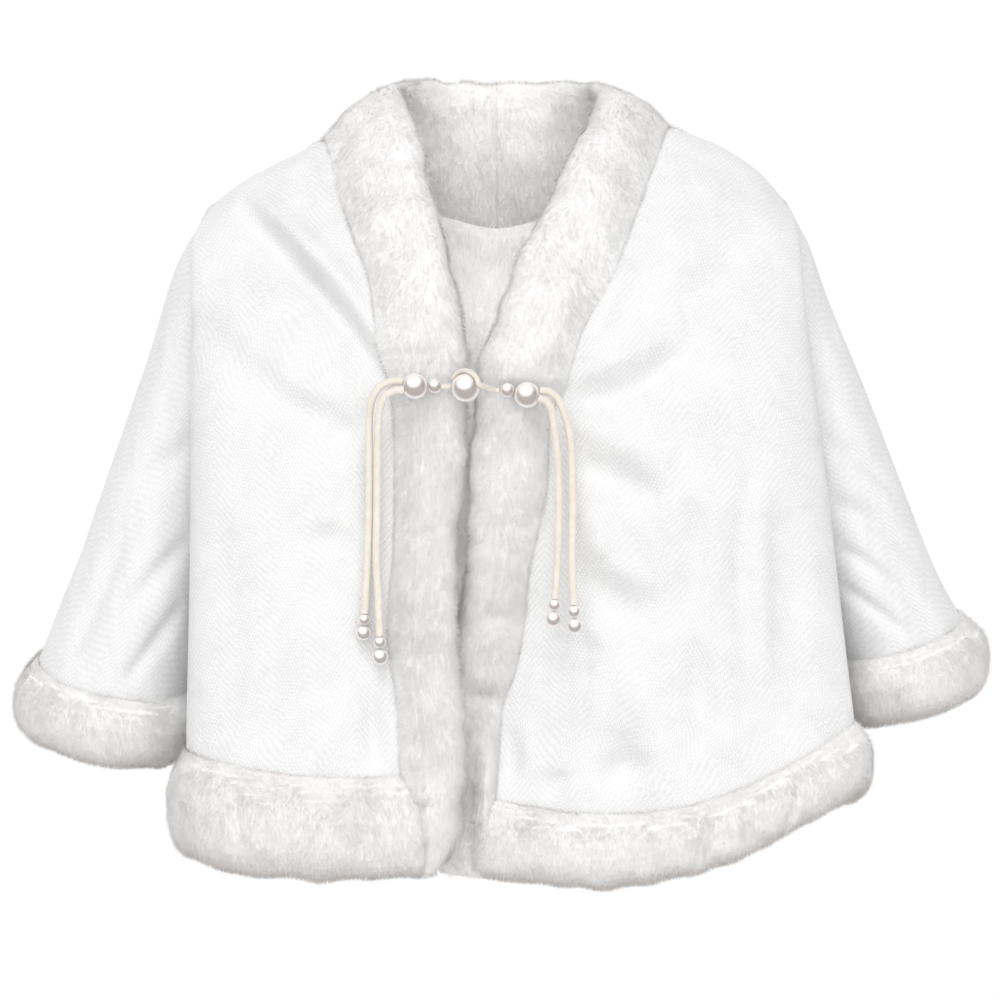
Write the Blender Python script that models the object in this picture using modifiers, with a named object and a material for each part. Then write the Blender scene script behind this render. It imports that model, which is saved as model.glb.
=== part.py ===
"""A short winter cape: tweed fronts, back and wide sleeves, plush trim, and a closure of pearls on cord.

Metres, +Z up. The wearer faces -Y, so the wearer's right side is at -X. The origin lies between
the shoulders, level with the places where the collar crosses them.
"""

import math
from collections import namedtuple

import bmesh
import bpy
import numpy as np
from mathutils import Vector

MM = 0.001

# Walls and gaps
CLOTH = 2.6 * MM
LINING = 2.0 * MM
SEAM_GAP = 0.3 * MM
RIDGE_GAP = 1.2 * MM
SHOULDER_ROLL = 7 * MM
SHOULDER_DROP = 1.2 * MM
EDGE_GAP = 0.8 * MM
LINING_GAP = 0.6 * MM
ARMHOLE_INSET = 2.6 * MM

# Reach of the fur: whole thickness of a strip, and how far its middle stands out past the cloth
COLLAR_FUR = (24 * MM, 3 * MM)
BAND_FUR = (22 * MM, 3 * MM)
HEM_FUR = (25 * MM, 5 * MM)
CUFF_FUR = (24 * MM, 4 * MM)
FUR_SQUARENESS = 2.5
FUR_SECTION = 12

# Sizes read from the front are those seen by an eye this far ahead and this much above, aimed here
EYE_DISTANCE = 4.0
EYE_PITCH = math.radians(7)
EYE_AIM_X = 2.4 * MM
EYE_AIM_Z = -292.2 * MM

# Rows of the panels: round the armhole by its own angle, then evenly down the side seam
ARM_ANGLES = [math.radians(degrees) for degrees in (0, 9, 22.5, 45, 67.5, 90, 112.5, 135, 157.5, 180)]
ARM_ROWS = len(ARM_ANGLES) - 1
SIDE_ROWS = 6
FACE_COLUMNS = 8
TURN_COLUMNS = 3
NECK_COLUMNS = 8
FACE_ROUNDNESS = 2.2
TURN_LEAN = 0.15
NECK_SHARE = 0.36
SMOOTH_STEPS = 16

# How a front changes down its rows, as shares of the way down and powers
TIP_RISE_POWER = 6
CROWN_POWER = 4
SAG_FROM = 0.5
BULGE_FULL = 0.625
FOLD_FIRST_ROWS = 2
FOLD_EDGE_POWER = 0.5

# Back: depth of its middle and of its widest line, at these shares of the way down (mm)
BackRow = namedtuple("BackRow", "share middle_y wide_y")
BACK_ROWS = (
    BackRow(0.0, 92, 2),
    BackRow(0.02, 94, 24),
    BackRow(0.08, 101, 45),
    BackRow(0.16, 108, 59),
    BackRow(0.3, 116, 72),
    BackRow(0.6, 122, 84),
    BackRow(1.0, 134, 88),
)
BACK_HEM_Z = -515 * MM
BACK_FUR_HEIGHT = 76 * MM
BACK_TOP_BLEND = 0.32
BACK_TIP_BLEND = 0.02
HEM_FLARE = 5 * MM
TRUNK_MIDDLE = (0, 0, -0.3)
CUFF_HANG = 0.5

# Each strip of collar and front band: its edge on the cloth and its free edge, seen from the front (mm)
EdgeRow = namedtuple("EdgeRow", "cloth_x cloth_z cloth_y free_x free_z free_y")
RIGHT_EDGE = (
    EdgeRow(-134, -2, 0, -70, 28, -8),
    EdgeRow(-132, -7, -17, -67, 15, -24),
    EdgeRow(-125, -38, -50, -58, -12, -50),
    EdgeRow(-112, -77, -82, -46, -63, -88),
    EdgeRow(-98, -118, -104, -33, -113, -114),
    EdgeRow(-94, -162, -120, -23.5, -160, -128),
    EdgeRow(-81, -202, -126, -22.5, -202, -134),
    EdgeRow(-78, -233, -129, -23, -233, -135),
    EdgeRow(-78, -322, -135, -30, -322, -140),
    EdgeRow(-83, -394, -139, -32, -394, -143),
    EdgeRow(-77, -444, -142, -26, -444, -146),
    EdgeRow(-74, -484, -145, -25, -484, -148),
    EdgeRow(-72, -517, -148, -25, -517, -150),
    EdgeRow(-64.5, -564, -150, -30, -560, -150),
    EdgeRow(-60, -592, -150, -41, -581, -150),
)
LEFT_EDGE = (
    EdgeRow(133, 7, 0, 78, 30, -8),
    EdgeRow(131, 3, -14, 75, 21, -22),
    EdgeRow(123, -19, -38, 66, 0, -45),
    EdgeRow(110, -55, -70, 44, -44, -82),
    EdgeRow(97, -91, -93, 23, -85, -106),
    EdgeRow(86, -126, -110, 7, -122, -120),
    EdgeRow(65, -158, -120, -7, -158, -130),
    EdgeRow(52, -196, -126, -19, -192, -134),
    EdgeRow(38, -228, -128, -20.5, -228, -134),
    EdgeRow(35, -285, -130, -23.5, -285, -131),
    EdgeRow(21, -349, -124, -27, -349, -122),
    EdgeRow(17, -395, -117, -36, -395, -112),
    EdgeRow(9, -432, -114, -46, -432, -108),
    EdgeRow(0, -457, -112, -54, -457, -107),
    EdgeRow(-4, -500, -114, -58, -500, -109),
    EdgeRow(-6, -535, -118, -60, -535, -112),
    EdgeRow(-9.5, -572, -121, -60, -570, -115),
    EdgeRow(-12, -594, -122, -48, -588, -117),
)

# The same strip behind the neck, from the middle of the back, for the right side
BACK_COLLAR = (
    EdgeRow(0, -72, 92, 0, 43.5, 72),
    EdgeRow(-52, -60, 85, -34, 43.5, 64),
    EdgeRow(-95, -37, 65, -62, 43, 44),
    EdgeRow(-124, -12, 34, -76, 40, 14),
)

# Widest line of each front, where it turns back towards the sleeve (mm, seen from the front)
WideRow = namedtuple("WideRow", "x z y")
RIGHT_WIDE = (
    WideRow(-227, -48, -1),
    WideRow(-239, -66, -22),
    WideRow(-245, -90, -42),
    WideRow(-245, -150, -62),
    WideRow(-245, -226, -70),
    WideRow(-246, -348, -73),
    WideRow(-248, -450, -75),
    WideRow(-249, -520, -76),
)
LEFT_WIDE = (
    WideRow(231, -45, -1),
    WideRow(240, -64, -22),
    WideRow(244, -92, -42),
    WideRow(248, -144, -62),
    WideRow(261, -256, -70),
    WideRow(271, -348, -73),
    WideRow(284, -450, -75),
    WideRow(290, -500, -76),
)

# Rings of each sleeve: the line over the arm, the line under it, and the depth (mm, seen from the front)
SleeveRow = namedtuple("SleeveRow", "over_x over_z under_x under_z middle_y half_y")
RIGHT_SLEEVE = (
    SleeveRow(-236, -56, -203, -285, 0, 42),
    SleeveRow(-246, -80, -217, -295, 2, 43),
    SleeveRow(-260, -114, -225, -312, 3, 45),
    SleeveRow(-278, -174, -231, -341, 4, 48),
    SleeveRow(-301, -241, -236, -374, 6, 50),
    SleeveRow(-331, -328, -241, -412, 8, 52),
    SleeveRow(-368, -423, -247, -445, 10, 52),
)
LEFT_SLEEVE = (
    SleeveRow(239, -53, 212, -280, 0, 42),
    SleeveRow(248, -80, 227, -290, 2, 43),
    SleeveRow(263, -126, 238, -309, 3, 45),
    SleeveRow(287, -185, 248, -336, 4, 48),
    SleeveRow(317, -262, 257, -365, 6, 50),
    SleeveRow(347, -338, 266, -395, 8, 52),
    SleeveRow(373, -389, 276, -418, 10, 52),
)

# Largest folds of the fronts: a trough pressed in along a line, seen from the front (mm)
FoldRow = namedtuple("FoldRow", "start_x start_z end_x end_z width depth")
RIGHT_FOLDS = (
    FoldRow(-196, -64, -104, -166, 22, 8),
    FoldRow(-170, -196, -112, -211, 24, 5),
)
LEFT_FOLDS = (
    FoldRow(66, -204, 176, -96, 24, 8),
    FoldRow(54, -246, 112, -360, 30, 8),
    FoldRow(110, -480, 108, -530, 26, 6),
)

# Closure: pearls on one line across the front, and the depth of their middles (mm, seen from the front)
PearlRow = namedtuple("PearlRow", "name x z y diameter")
PEARLS = (
    PearlRow("pearl_right_big", -65.7, -201, -153, 20),
    PearlRow("pearl_right_small", -49.9, -201, -152, 11),
    PearlRow("pearl_button", -25.2, -202.4, -158, 22),
    PearlRow("pearl_left_small", 8.3, -204.3, -152, 11),
    PearlRow("pearl_left_big", 24, -208, -153, 20),
)
CORD = 6 * MM
LOOP_CORD = 4 * MM
LOOP_LEAN = (0, 0, 1)
LOOP_ASIDE = (0.8, -0.6, 0)
LOOP_START, LOOP_END = math.radians(15), math.radians(150)
LOOP_TURNS = 14

# Hanging tails: the way each one takes from its pearl to its end beads (mm, seen from the front)
TAILS = {
    "tail_right_outer": (
        (-75.9, -197, -155), (-85, -197, -156), (-93, -201, -156), (-99, -209, -154), (-102, -222, -151),
        (-102.5, -245, -148), (-102.5, -290, -147), (-103.5, -335, -147), (-106, -383, -148),
    ),
    "tail_right_inner": (
        (-75.3, -204, -158), (-83, -204.5, -160), (-89, -208, -160), (-93, -215, -158), (-95, -228, -155),
        (-95.5, -250, -151), (-96, -300, -149), (-96.5, -340, -150), (-95, -370, -151), (-94, -401, -151),
    ),
    "tail_left_inner": (
        (33.8, -211, -157), (39, -212.5, -159), (42.5, -217, -159), (44.5, -226, -157), (47, -242, -153),
        (49, -265, -150), (49.5, -300, -149), (48.5, -340, -148), (46.4, -371, -148),
    ),
    "tail_left_outer": (
        (34.8, -204.5, -154), (42, -205.5, -155), (48.5, -211, -155), (53.5, -222, -153), (57.5, -236, -150),
        (59.7, -255, -148), (60.5, -295, -147), (60, -335, -147), (61.6, -376, -148),
    ),
}
TAIL_BEADS = {
    "tail_right_outer": (9, 11.5),
    "tail_right_inner": (9.6, 12.5),
    "tail_left_inner": (9.5, 12),
    "tail_left_outer": (10, 12),
}
TAIL_POINTS = 22

# Colours
TWEED = (0.88, 0.88, 0.87)
PLUSH = (0.9, 0.89, 0.87)
VELVET = (0.9, 0.78, 0.62)
PEARL = (0.9, 0.87, 0.84)


class Side:
    """The measures of one side of the cape, brought from the front view to their places."""

    def __init__(
        self, name, sign, edge, wide, sleeve, folds, crown, sag, bulge, seam, fur_height, cuff, closure_row, hem_row
    ):
        self.name = name
        self.sign = sign
        neck = [row._replace(cloth_x=-sign * row.cloth_x, free_x=-sign * row.free_x) for row in BACK_COLLAR]
        strip = with_outward(smooth([strip_points(row) for row in neck + list(edge)]))
        self.neck_step = len(neck) * SMOOTH_STEPS
        self.closure_step = (len(neck) + closure_row) * SMOOTH_STEPS
        self.strip = strip
        self.hem_inner = strip[(len(neck) + hem_row) * SMOOTH_STEPS][2]
        self.wide = smooth([from_front(*row) for row in wide])
        self.rings = [sleeve_ring(row) for row in sleeve]
        self.folds = folds
        self.sag = sag * MM
        self.crown = crown * MM
        self.bulge = bulge * MM
        self.seam = [value * MM for value in seam]
        self.fur_height = [value * MM for value in fur_height]
        self.cuff_height, self.cuff_dip = (value * MM for value in cuff)


def from_front(x, z, y):
    """The place at depth y of a point seen from the front at x and z (mm)."""
    across = x * MM - EYE_AIM_X
    rise = z * MM - EYE_AIM_Z
    deep = y * MM
    sine = math.sin(EYE_PITCH)
    cosine = math.cos(EYE_PITCH)
    above = rise * (EYE_DISTANCE + deep * cosine) - EYE_DISTANCE * deep * sine
    above /= EYE_DISTANCE * cosine + rise * sine
    scale = (EYE_DISTANCE + deep * cosine - above * sine) / EYE_DISTANCE
    return np.array([EYE_AIM_X + across * scale, deep, EYE_AIM_Z + above])


def strip_points(row):
    """The two edge points of one section of a fur strip, as six numbers."""
    cloth = from_front(row.cloth_x, row.cloth_z, row.cloth_y)
    free = from_front(row.free_x, row.free_z, row.free_y)
    return np.concatenate([cloth, free])


def with_outward(strip):
    """A strip's two edges, and beside them the way its fur stands out from the body."""
    cloth, free = strip[:, :3], strip[:, 3:]
    along = np.gradient((cloth + free) / 2, axis=0)
    along[0, 1:] = 0
    out = np.cross(along, free - cloth)
    out /= np.linalg.norm(out, axis=1, keepdims=True)
    if out[0, 1] < 0:
        out = -out
    return np.hstack([strip, out])


def beside(section):
    """A point just off the cloth edge of a strip's section, where the panel ends."""
    cloth, free = section[:3], section[3:6]
    return cloth + (cloth - free) / np.linalg.norm(cloth - free) * EDGE_GAP


def sleeve_ring(row):
    """The points over and under the arm on one ring of a sleeve, and the half depth there."""
    over = from_front(row.over_x, row.over_z, row.middle_y)
    under = from_front(row.under_x, row.under_z, row.middle_y)
    return over, under, row.half_y * MM


def smooth(rows, steps=SMOOTH_STEPS):
    """A smooth curve through the rows, with the same number of steps between each two."""
    rows = np.array(rows, float)
    ends = np.vstack([2 * rows[0] - rows[1], rows, 2 * rows[-1] - rows[-2]])
    found = []
    for before, start, end, after in zip(ends, ends[1:], ends[2:], ends[3:]):
        for step in range(steps):
            t = step / steps
            bend = 2 * before - 5 * start + 4 * end - after
            twist = 3 * start - before - 3 * end + after
            found.append(start + 0.5 * t * (end - before + t * (bend + t * twist)))
    found.append(rows[-1])
    return np.array(found)


def at(points, value, axis=2):
    """The point of a curve where one coordinate, which only rises or only falls along it, has this value."""
    order = np.argsort(points[:, axis])
    key = points[order, axis]
    return np.array([np.interp(value, key, points[order, i]) for i in range(points.shape[1])])


def ease(share):
    """A smooth step from 0 to 1."""
    share = min(max(share, 0.0), 1.0)
    return share * share * (3 - 2 * share)


def oval(ring, angle, front):
    """A point on a ring of a sleeve or an armhole, by its angle from the top, on the front or the back half."""
    over, under, half = ring
    point = (over + under) / 2 + (over - under) / 2 * math.cos(angle)
    point[1] += (-half if front else half) * math.sin(angle)
    return point


def falls(top, under, low):
    """The heights of the rows between three levels, on the rule of the armhole."""
    arm = [under + (top - under) * (1 + math.cos(angle)) / 2 for angle in ARM_ANGLES]
    return arm + [under + (low - under) * step / SIDE_ROWS for step in range(1, SIDE_ROWS + 1)]


def seam_points(side, front):
    """The outer edge of a panel, row by row: down the armhole, then down the side seam to the hem."""
    points = [oval(side.rings[0], angle, front) for angle in ARM_ANGLES]
    points[0][1] += -RIDGE_GAP / 2 if front else RIDGE_GAP / 2
    over, under, half = side.rings[0]
    middle_x, low_x, low_z = side.seam
    for step in range(1, SIDE_ROWS + 1):
        share = step / SIDE_ROWS
        x = (1 - share) ** 2 * under[0] + 2 * share * (1 - share) * middle_x + share**2 * low_x
        z = under[2] + share * (low_z - under[2])
        points.append(np.array([x, under[1], z]))
    for point in points[ARM_ROWS:]:
        point[1] += -SEAM_GAP if front else SEAM_GAP
    return points


def wide_points(side, seam):
    """The widest line of a front, row by row, a little above the armhole at the shoulder tip."""
    top = side.wide[0][2]
    rise = top - seam[0][2]
    span = seam[0][2] - seam[-1][2]
    levels = [point[2] + rise * (1 - (seam[0][2] - point[2]) / span) ** TIP_RISE_POWER for point in seam]
    return [at(side.wide, level) for level in levels]


def turn(wide, seam, share):
    """A point of the turned-in side of a panel, from its widest line to its seam."""
    corner = np.array([wide[0], wide[1] + TURN_LEAN * (seam[1] - wide[1]), (wide[2] + seam[2]) / 2])
    return (1 - share) ** 2 * wide + 2 * share * (1 - share) * corner + share**2 * seam


def fold_depth(folds, x, z):
    """How far the folds press a front in at a place."""
    depth = 0.0
    for fold in folds:
        start = np.array([fold.start_x, fold.start_z]) * MM
        run = np.array([fold.end_x - fold.start_x, fold.end_z - fold.start_z]) * MM
        share = np.clip(np.dot([x - start[0], z - start[1]], run) / np.dot(run, run), 0, 1)
        away = math.dist((x, z), start + share * run) / (fold.width * MM)
        depth += fold.depth * MM * math.exp(-away * away)
    return depth


def inner_levels(side):
    """The heights of a front's rows at the edge it shares with the collar and the band."""
    neck = side.strip[side.neck_step]
    seam_under = side.rings[0][1][2]
    return falls(neck[2], seam_under, side.hem_inner)


def front_grid(side):
    """Rows of points over a front, from the fur edge to the armhole and side seam."""
    seam = seam_points(side, front=True)
    wide = wide_points(side, seam)
    strip = side.strip[side.neck_step:]
    grid = []
    for row, level in enumerate(inner_levels(side)):
        inner = beside(at(strip, level))
        down = row / (len(seam) - 1)
        low = ease((down - SAG_FROM) / (1 - SAG_FROM))
        line = []
        for column in range(FACE_COLUMNS + 1):
            angle = column / FACE_COLUMNS * math.pi / 2
            out = math.sin(angle) ** (2 / FACE_ROUNDNESS)
            deep = math.cos(angle) ** (2 / FACE_ROUNDNESS) if column < FACE_COLUMNS else 0.0
            point = inner + (wide[row] - inner) * out
            point[1] = wide[row][1] + (inner[1] - wide[row][1]) * deep
            swell = math.sin(math.pi * out)
            point[1] -= side.bulge * swell * ease(down / BULGE_FULL)
            point[2] -= side.sag * swell * low
            point[2] += side.crown * swell * (1 - down) ** CROWN_POWER
            pressed = fold_depth(side.folds, point[0], point[2]) * ease(row / FOLD_FIRST_ROWS)
            point[1] += pressed * swell**FOLD_EDGE_POWER
            line.append(point)
        line += [turn(wide[row], seam[row], step / TURN_COLUMNS) for step in range(1, TURN_COLUMNS + 1)]
        grid.append(line)
    flatten_ridge(grid, -RIDGE_GAP / 2)
    return grid


def flatten_ridge(grid, gap, first=0):
    """Sets the first row on the shoulder seam and the second level beside it, so that the walls meet squarely."""
    roll = math.copysign(SHOULDER_ROLL, gap)
    for column in range(first, len(grid[0])):
        x, y, z = grid[0][column]
        grid[0][column] = np.array([x, gap, z])
        if 0 < column < len(grid[0]) - 1:
            grid[1][column] = np.array([x, roll, z - SHOULDER_DROP])


def neck_sections(side):
    """The sections of the collar behind the neck, one for each column of the back there."""
    neck = side.strip[:side.neck_step + 1]
    half = NECK_COLUMNS // 2
    return [at(neck, neck[-1][0] * step / half, axis=0) for step in range(half)]


def down_shares(side):
    """How far down the side each row of a panel is, as a share."""
    heights = np.array([point[2] for point in seam_points(side, front=False)])
    return (heights[0] - heights) / (heights[0] - heights[-1])


def back_half(side, shoulder, middle_shares):
    """Rows of points over half of the back, from its middle to the armhole and side seam of one side."""
    seam = seam_points(side, front=False)
    side_shares = down_shares(side)
    wide = wide_points(side, seam)
    table = smooth([(row.share, row.middle_y * MM, row.wide_y * MM) for row in BACK_ROWS])
    half_neck = NECK_COLUMNS // 2
    tops = [beside(section) for section in neck_sections(side)]
    tops += [np.array([point[0], RIDGE_GAP / 2, point[2]]) for point in shoulder]
    shares = [NECK_SHARE * step / half_neck for step in range(half_neck)]
    shares += [NECK_SHARE + (1 - NECK_SHARE) * step / FACE_COLUMNS for step in range(FACE_COLUMNS + 1)]
    grid = []
    for row, edge in enumerate(seam):
        share, middle_y, wide_y = at(table, side_shares[row], axis=0)
        width = wide[row][0]
        line = []
        for top, across in zip(tops, shares):
            angle = across * math.pi / 2
            deep = max(math.cos(angle), 0.0) ** (2 / FACE_ROUNDNESS)
            x = width * math.sin(angle) ** (2 / FACE_ROUNDNESS)
            y = wide_y + (middle_y - wide_y) * deep
            down = side_shares[row] + (middle_shares[row] - side_shares[row]) * deep
            low_z = seam[-1][2] + (BACK_HEM_Z - seam[-1][2]) * deep
            settled = ease(side_shares[row] / (BACK_TOP_BLEND * (1 - across) + BACK_TIP_BLEND))
            z = top[2] + down * (low_z - top[2])
            line.append(np.array([top[0] + settled * (x - top[0]), top[1] + settled * (y - top[1]), z]))
        outer = line[-1]
        line += [turn(outer, edge, step / TURN_COLUMNS) for step in range(1, TURN_COLUMNS + 1)]
        grid.append(line)
    flatten_ridge(grid, RIDGE_GAP / 2, half_neck)
    return grid


def back_grid(right, left, fronts):
    """Rows of points over the whole back, from the right side seam to the left."""
    shoulders = [fronts[side.name][0][:FACE_COLUMNS + 1] for side in (right, left)]
    shares = (down_shares(right) + down_shares(left)) / 2
    halves = [back_half(side, shoulder, shares) for side, shoulder in zip((right, left), shoulders)]
    grid = []
    for one, other in zip(*halves):
        middle = (one[0] + other[0]) / 2
        grid.append(one[:0:-1] + [middle] + other[1:])
    return grid


def grid_normals(grid):
    """The unit normals of a grid of points."""
    points = np.array(grid)
    normals = np.cross(np.gradient(points, axis=1), np.gradient(points, axis=0))
    return normals / np.linalg.norm(normals, axis=2, keepdims=True)


def lining_grid(back):
    """The inner part of the back's points, moved in past its wall."""
    margin = TURN_COLUMNS + FACE_COLUMNS + 1
    inside = np.array(back) - grid_normals(back) * (CLOTH + LINING_GAP)
    inside = inside[1:, margin:-margin]
    return inside.tolist()


def sleeve_grid(side):
    """Rings of points down a sleeve, the first just inside the armhole."""
    rings = [np.concatenate([over, under, [half]]) for over, under, half in side.rings]
    over, under, half = rings[0][:3], rings[0][3:6], rings[0][6]
    inset = ARMHOLE_INSET * (under - over) / np.linalg.norm(under - over)
    rings[0] = np.concatenate([over + inset, under - inset, [half - ARMHOLE_INSET]])
    grid = []
    for step, ring in enumerate(rings):
        parts = (ring[:3], ring[3:6], ring[6])
        line = [oval(parts, angle, True) for angle in ARM_ANGLES]
        line += [oval(parts, angle, False) for angle in ARM_ANGLES[-2:0:-1]]
        dip = side.cuff_dip * (step / (len(rings) - 1)) ** 2
        for point in line:
            point[2] += dip * (point[1] - parts[0][1]) / parts[2]
        grid.append(line)
    return grid


def cuff_edges(side, sleeve):
    """The upper and lower edge of a cuff, which hangs from the end of its sleeve."""
    end = np.array(sleeve[-1])
    run = end.mean(axis=0) - np.array(sleeve[-2]).mean(axis=0)
    way = run / np.linalg.norm(run) * (1 - CUFF_HANG) + np.array([0, 0, -CUFF_HANG])
    way /= np.linalg.norm(way)
    top = end + way * SEAM_GAP
    return top, top + way * side.cuff_height


def hem_edges(side, front):
    """The upper and lower edge of the hem trim under a front."""
    top = np.array(front[-1]) - (0, 0, EDGE_GAP)
    count = len(top)
    low = top.copy()
    inner, middle, outer = side.fur_height
    for column in range(count):
        share = column / (count - 1)
        swell = middle - (inner + outer) / 2
        low[column, 2] -= inner + (outer - inner) * share + swell * math.sin(math.pi * share)
        low[column, 1] -= HEM_FLARE * (1 - share)
    corner = at(side.strip, low[0, 2])
    low[0, 0] = corner[0] + side.sign * SEAM_GAP
    top[0, 0] += side.sign * SEAM_GAP
    return top, low


def new_material(name, colour, roughness):
    """A plain material of one colour."""
    material = bpy.data.materials.new(name)
    material.use_nodes = True
    shader = material.node_tree.nodes["Principled BSDF"]
    shader.inputs["Base Color"].default_value = (*colour, 1.0)
    shader.inputs["Roughness"].default_value = roughness
    shader.inputs["Metallic"].default_value = 0.0
    material.diffuse_color = (*colour, 1.0)
    return material


def add_object(name, data, material):
    """An object of the cape, in its collection and under its empty."""
    data.materials.append(material)
    thing = bpy.data.objects.new(name, data)
    parts.objects.link(thing)
    thing.parent = root
    return thing


def grid_mesh(name, grid, inside, closed):
    """A mesh with a vertex at each point of a grid, facing away from the inside, and capped if it is closed."""
    points = [point for line in grid for point in line]
    bm = bmesh.new()
    bmesh.ops.create_grid(bm, x_segments=len(grid[0]) - 1, y_segments=len(grid) - 1, size=1)
    for vertex, point in zip(bm.verts, points):
        vertex.co = point
    bmesh.ops.remove_doubles(bm, verts=bm.verts, dist=1e-6)
    bm.normal_update()
    centre = Vector(inside)
    if sum(face.normal.dot(face.calc_center_median() - centre) for face in bm.faces) < 0:
        bmesh.ops.reverse_faces(bm, faces=bm.faces)
    if closed:
        bmesh.ops.holes_fill(bm, edges=[edge for edge in bm.edges if edge.is_boundary], sides=0)
        bmesh.ops.recalc_face_normals(bm, faces=bm.faces)
    for face in bm.faces:
        face.smooth = True
    mesh = bpy.data.meshes.new(name)
    bm.to_mesh(mesh)
    bm.free()
    return mesh


def add_wall(name, grid, inside, thickness, material):
    """A cloth wall whose outer face is the grid."""
    mesh = grid_mesh(name, grid, inside, closed=False)
    thing = add_object(name, mesh, material)
    solidify = thing.modifiers.new("cloth", "SOLIDIFY")
    solidify.thickness = thickness
    solidify.offset = -1
    return thing


def outward(top, low, inside, ring=False):
    """The way out from the inside at each section between two edges, square to the strip."""
    middle = (top + low) / 2
    if ring:
        along = np.roll(middle, -1, axis=0) - np.roll(middle, 1, axis=0)
    else:
        along = np.gradient(middle, axis=0)
    out = np.cross(along, top - low)
    out /= np.linalg.norm(out, axis=1, keepdims=True)
    return out if np.sum(out * (middle - inside)) > 0 else -out


def fur_sections(top, low, out, fur):
    """The oval sections of a fur strip between its two edges."""
    thickness, proud = fur
    grid = []
    for middle, half, way in zip((top + low) / 2, (top - low) / 2, out):
        line = []
        for step in range(FUR_SECTION + 1):
            angle = 2 * math.pi * (step % FUR_SECTION) / FUR_SECTION
            across = math.copysign(abs(math.cos(angle)) ** (2 / FUR_SQUARENESS), math.cos(angle))
            up = math.copysign(abs(math.sin(angle)) ** (2 / FUR_SQUARENESS), math.sin(angle))
            line.append(middle + half * across + way * (thickness / 2 * up + proud * up * up))
        grid.append(line)
    return grid


def add_fur(name, top, low, out, fur, ring=False):
    """A solid of the reach of a fur strip."""
    grid = fur_sections(np.array(top), np.array(low), out, fur)
    if ring:
        grid.append(grid[0])
    add_object(name, grid_mesh(name, grid, TRUNK_MIDDLE, closed=True), plush)


def add_bead(name, place, diameter):
    """A round pearl."""
    bm = bmesh.new()
    bmesh.ops.create_uvsphere(bm, u_segments=12, v_segments=7, radius=diameter * MM / 2)
    for face in bm.faces:
        face.smooth = True
    mesh = bpy.data.meshes.new(name)
    bm.to_mesh(mesh)
    bm.free()
    add_object(name, mesh, pearl).location = place


def add_cord(name, route, count, diameter):
    """A cord along a smooth curve through the points of its route."""
    dense = smooth(route)
    run = np.concatenate([[0], np.cumsum(np.linalg.norm(np.diff(dense, axis=0), axis=1))])
    shares = np.linspace(0, run[-1], count)
    curve = bpy.data.curves.new(name, "CURVE")
    curve.dimensions = "3D"
    curve.bevel_depth = diameter / 2
    curve.bevel_resolution = 2
    curve.use_fill_caps = True
    spline = curve.splines.new("POLY")
    spline.points.add(count - 1)
    for point, share in zip(spline.points, shares):
        point.co = (*(np.interp(share, run, dense[:, i]) for i in range(3)), 1.0)
    add_object(name, curve, velvet)
    return dense[-1], dense[-1] - dense[-2]


def build_trunk(right, left):
    """The fronts, the back with its lining, and the hem trim."""
    fronts = {side.name: front_grid(side) for side in (right, left)}
    back = back_grid(right, left, fronts)
    for side in (right, left):
        add_wall("front_" + side.name, fronts[side.name], TRUNK_MIDDLE, CLOTH, tweed)
        top, low = hem_edges(side, fronts[side.name])
        out = outward(top, low, TRUNK_MIDDLE)
        out[0] = (0, -1, 0)
        out[-1] = (side.sign, 0, 0)
        add_fur("hem_" + side.name, top, low, out, HEM_FUR)
    add_wall("back", back, TRUNK_MIDDLE, CLOTH, tweed)
    add_wall("back_lining", lining_grid(back), TRUNK_MIDDLE, LINING, lining)
    top = np.array(back[-1]) - (0, 0, EDGE_GAP)
    low = top - (0, 0, BACK_FUR_HEIGHT)
    out = outward(top, low, TRUNK_MIDDLE)
    out[0] = (-1, 0, 0)
    out[-1] = (1, 0, 0)
    add_fur("hem_back", top, low, out, HEM_FUR)


def build_edge(side):
    """One half of the collar and the front band below it."""
    strip = side.strip
    lower = strip[side.neck_step:]
    closure = strip[side.closure_step]
    levels = inner_levels(side)
    upper_rows = [at(lower, level) for level in levels if level > closure[2]]
    lower_rows = [at(lower, level) for level in levels if level < closure[2]]
    ends = [strip[-SMOOTH_STEPS - 1], strip[-SMOOTH_STEPS // 2], strip[-1]]
    collar = np.array(neck_sections(side) + upper_rows + [closure])
    band = np.array([closure] + lower_rows + ends)
    collar[0, [0, 3]] = side.sign * SEAM_GAP / 2
    collar[-1, [2, 5]] += SEAM_GAP
    band[0, [2, 5]] -= SEAM_GAP
    for name, rows, fur in (("collar_", collar, COLLAR_FUR), ("band_", band, BAND_FUR)):
        add_fur(name + side.name, rows[:, :3], rows[:, 3:6], rows[:, 6:], fur)


def build_sleeve(side):
    """A sleeve and its cuff."""
    grid = sleeve_grid(side)
    axis = np.array(grid).mean(axis=(0, 1))
    add_wall("sleeve_" + side.name, [line + line[:1] for line in grid], tuple(axis), CLOTH, tweed)
    top, low = cuff_edges(side, grid)
    out = outward(top, low, (top.mean(axis=0) + low.mean(axis=0)) / 2, ring=True)
    add_fur("cuff_" + side.name, top, low, out, CUFF_FUR, ring=True)


def loop_route(button, pearl):
    """The way of the button loop: from the small pearl beside it, then round the button on a leaning circle."""
    centre = from_front(button.x, button.z, button.y)
    start = from_front(pearl.x, pearl.z, pearl.y) - (pearl.diameter * MM / 2 + SEAM_GAP, 0, 0)
    radius = (button.diameter * MM + LOOP_CORD) / 2 + SEAM_GAP
    aside = np.array(LOOP_ASIDE) / np.linalg.norm(LOOP_ASIDE)
    lean = np.array(LOOP_LEAN) - aside * np.dot(LOOP_LEAN, aside)
    lean /= np.linalg.norm(lean)
    angles = np.linspace(LOOP_START, LOOP_END, LOOP_TURNS)
    ring = [centre + radius * (aside * math.cos(angle) + lean * math.sin(angle)) for angle in angles]
    return [start, start - (LOOP_CORD, 0, 0)] + ring


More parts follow.
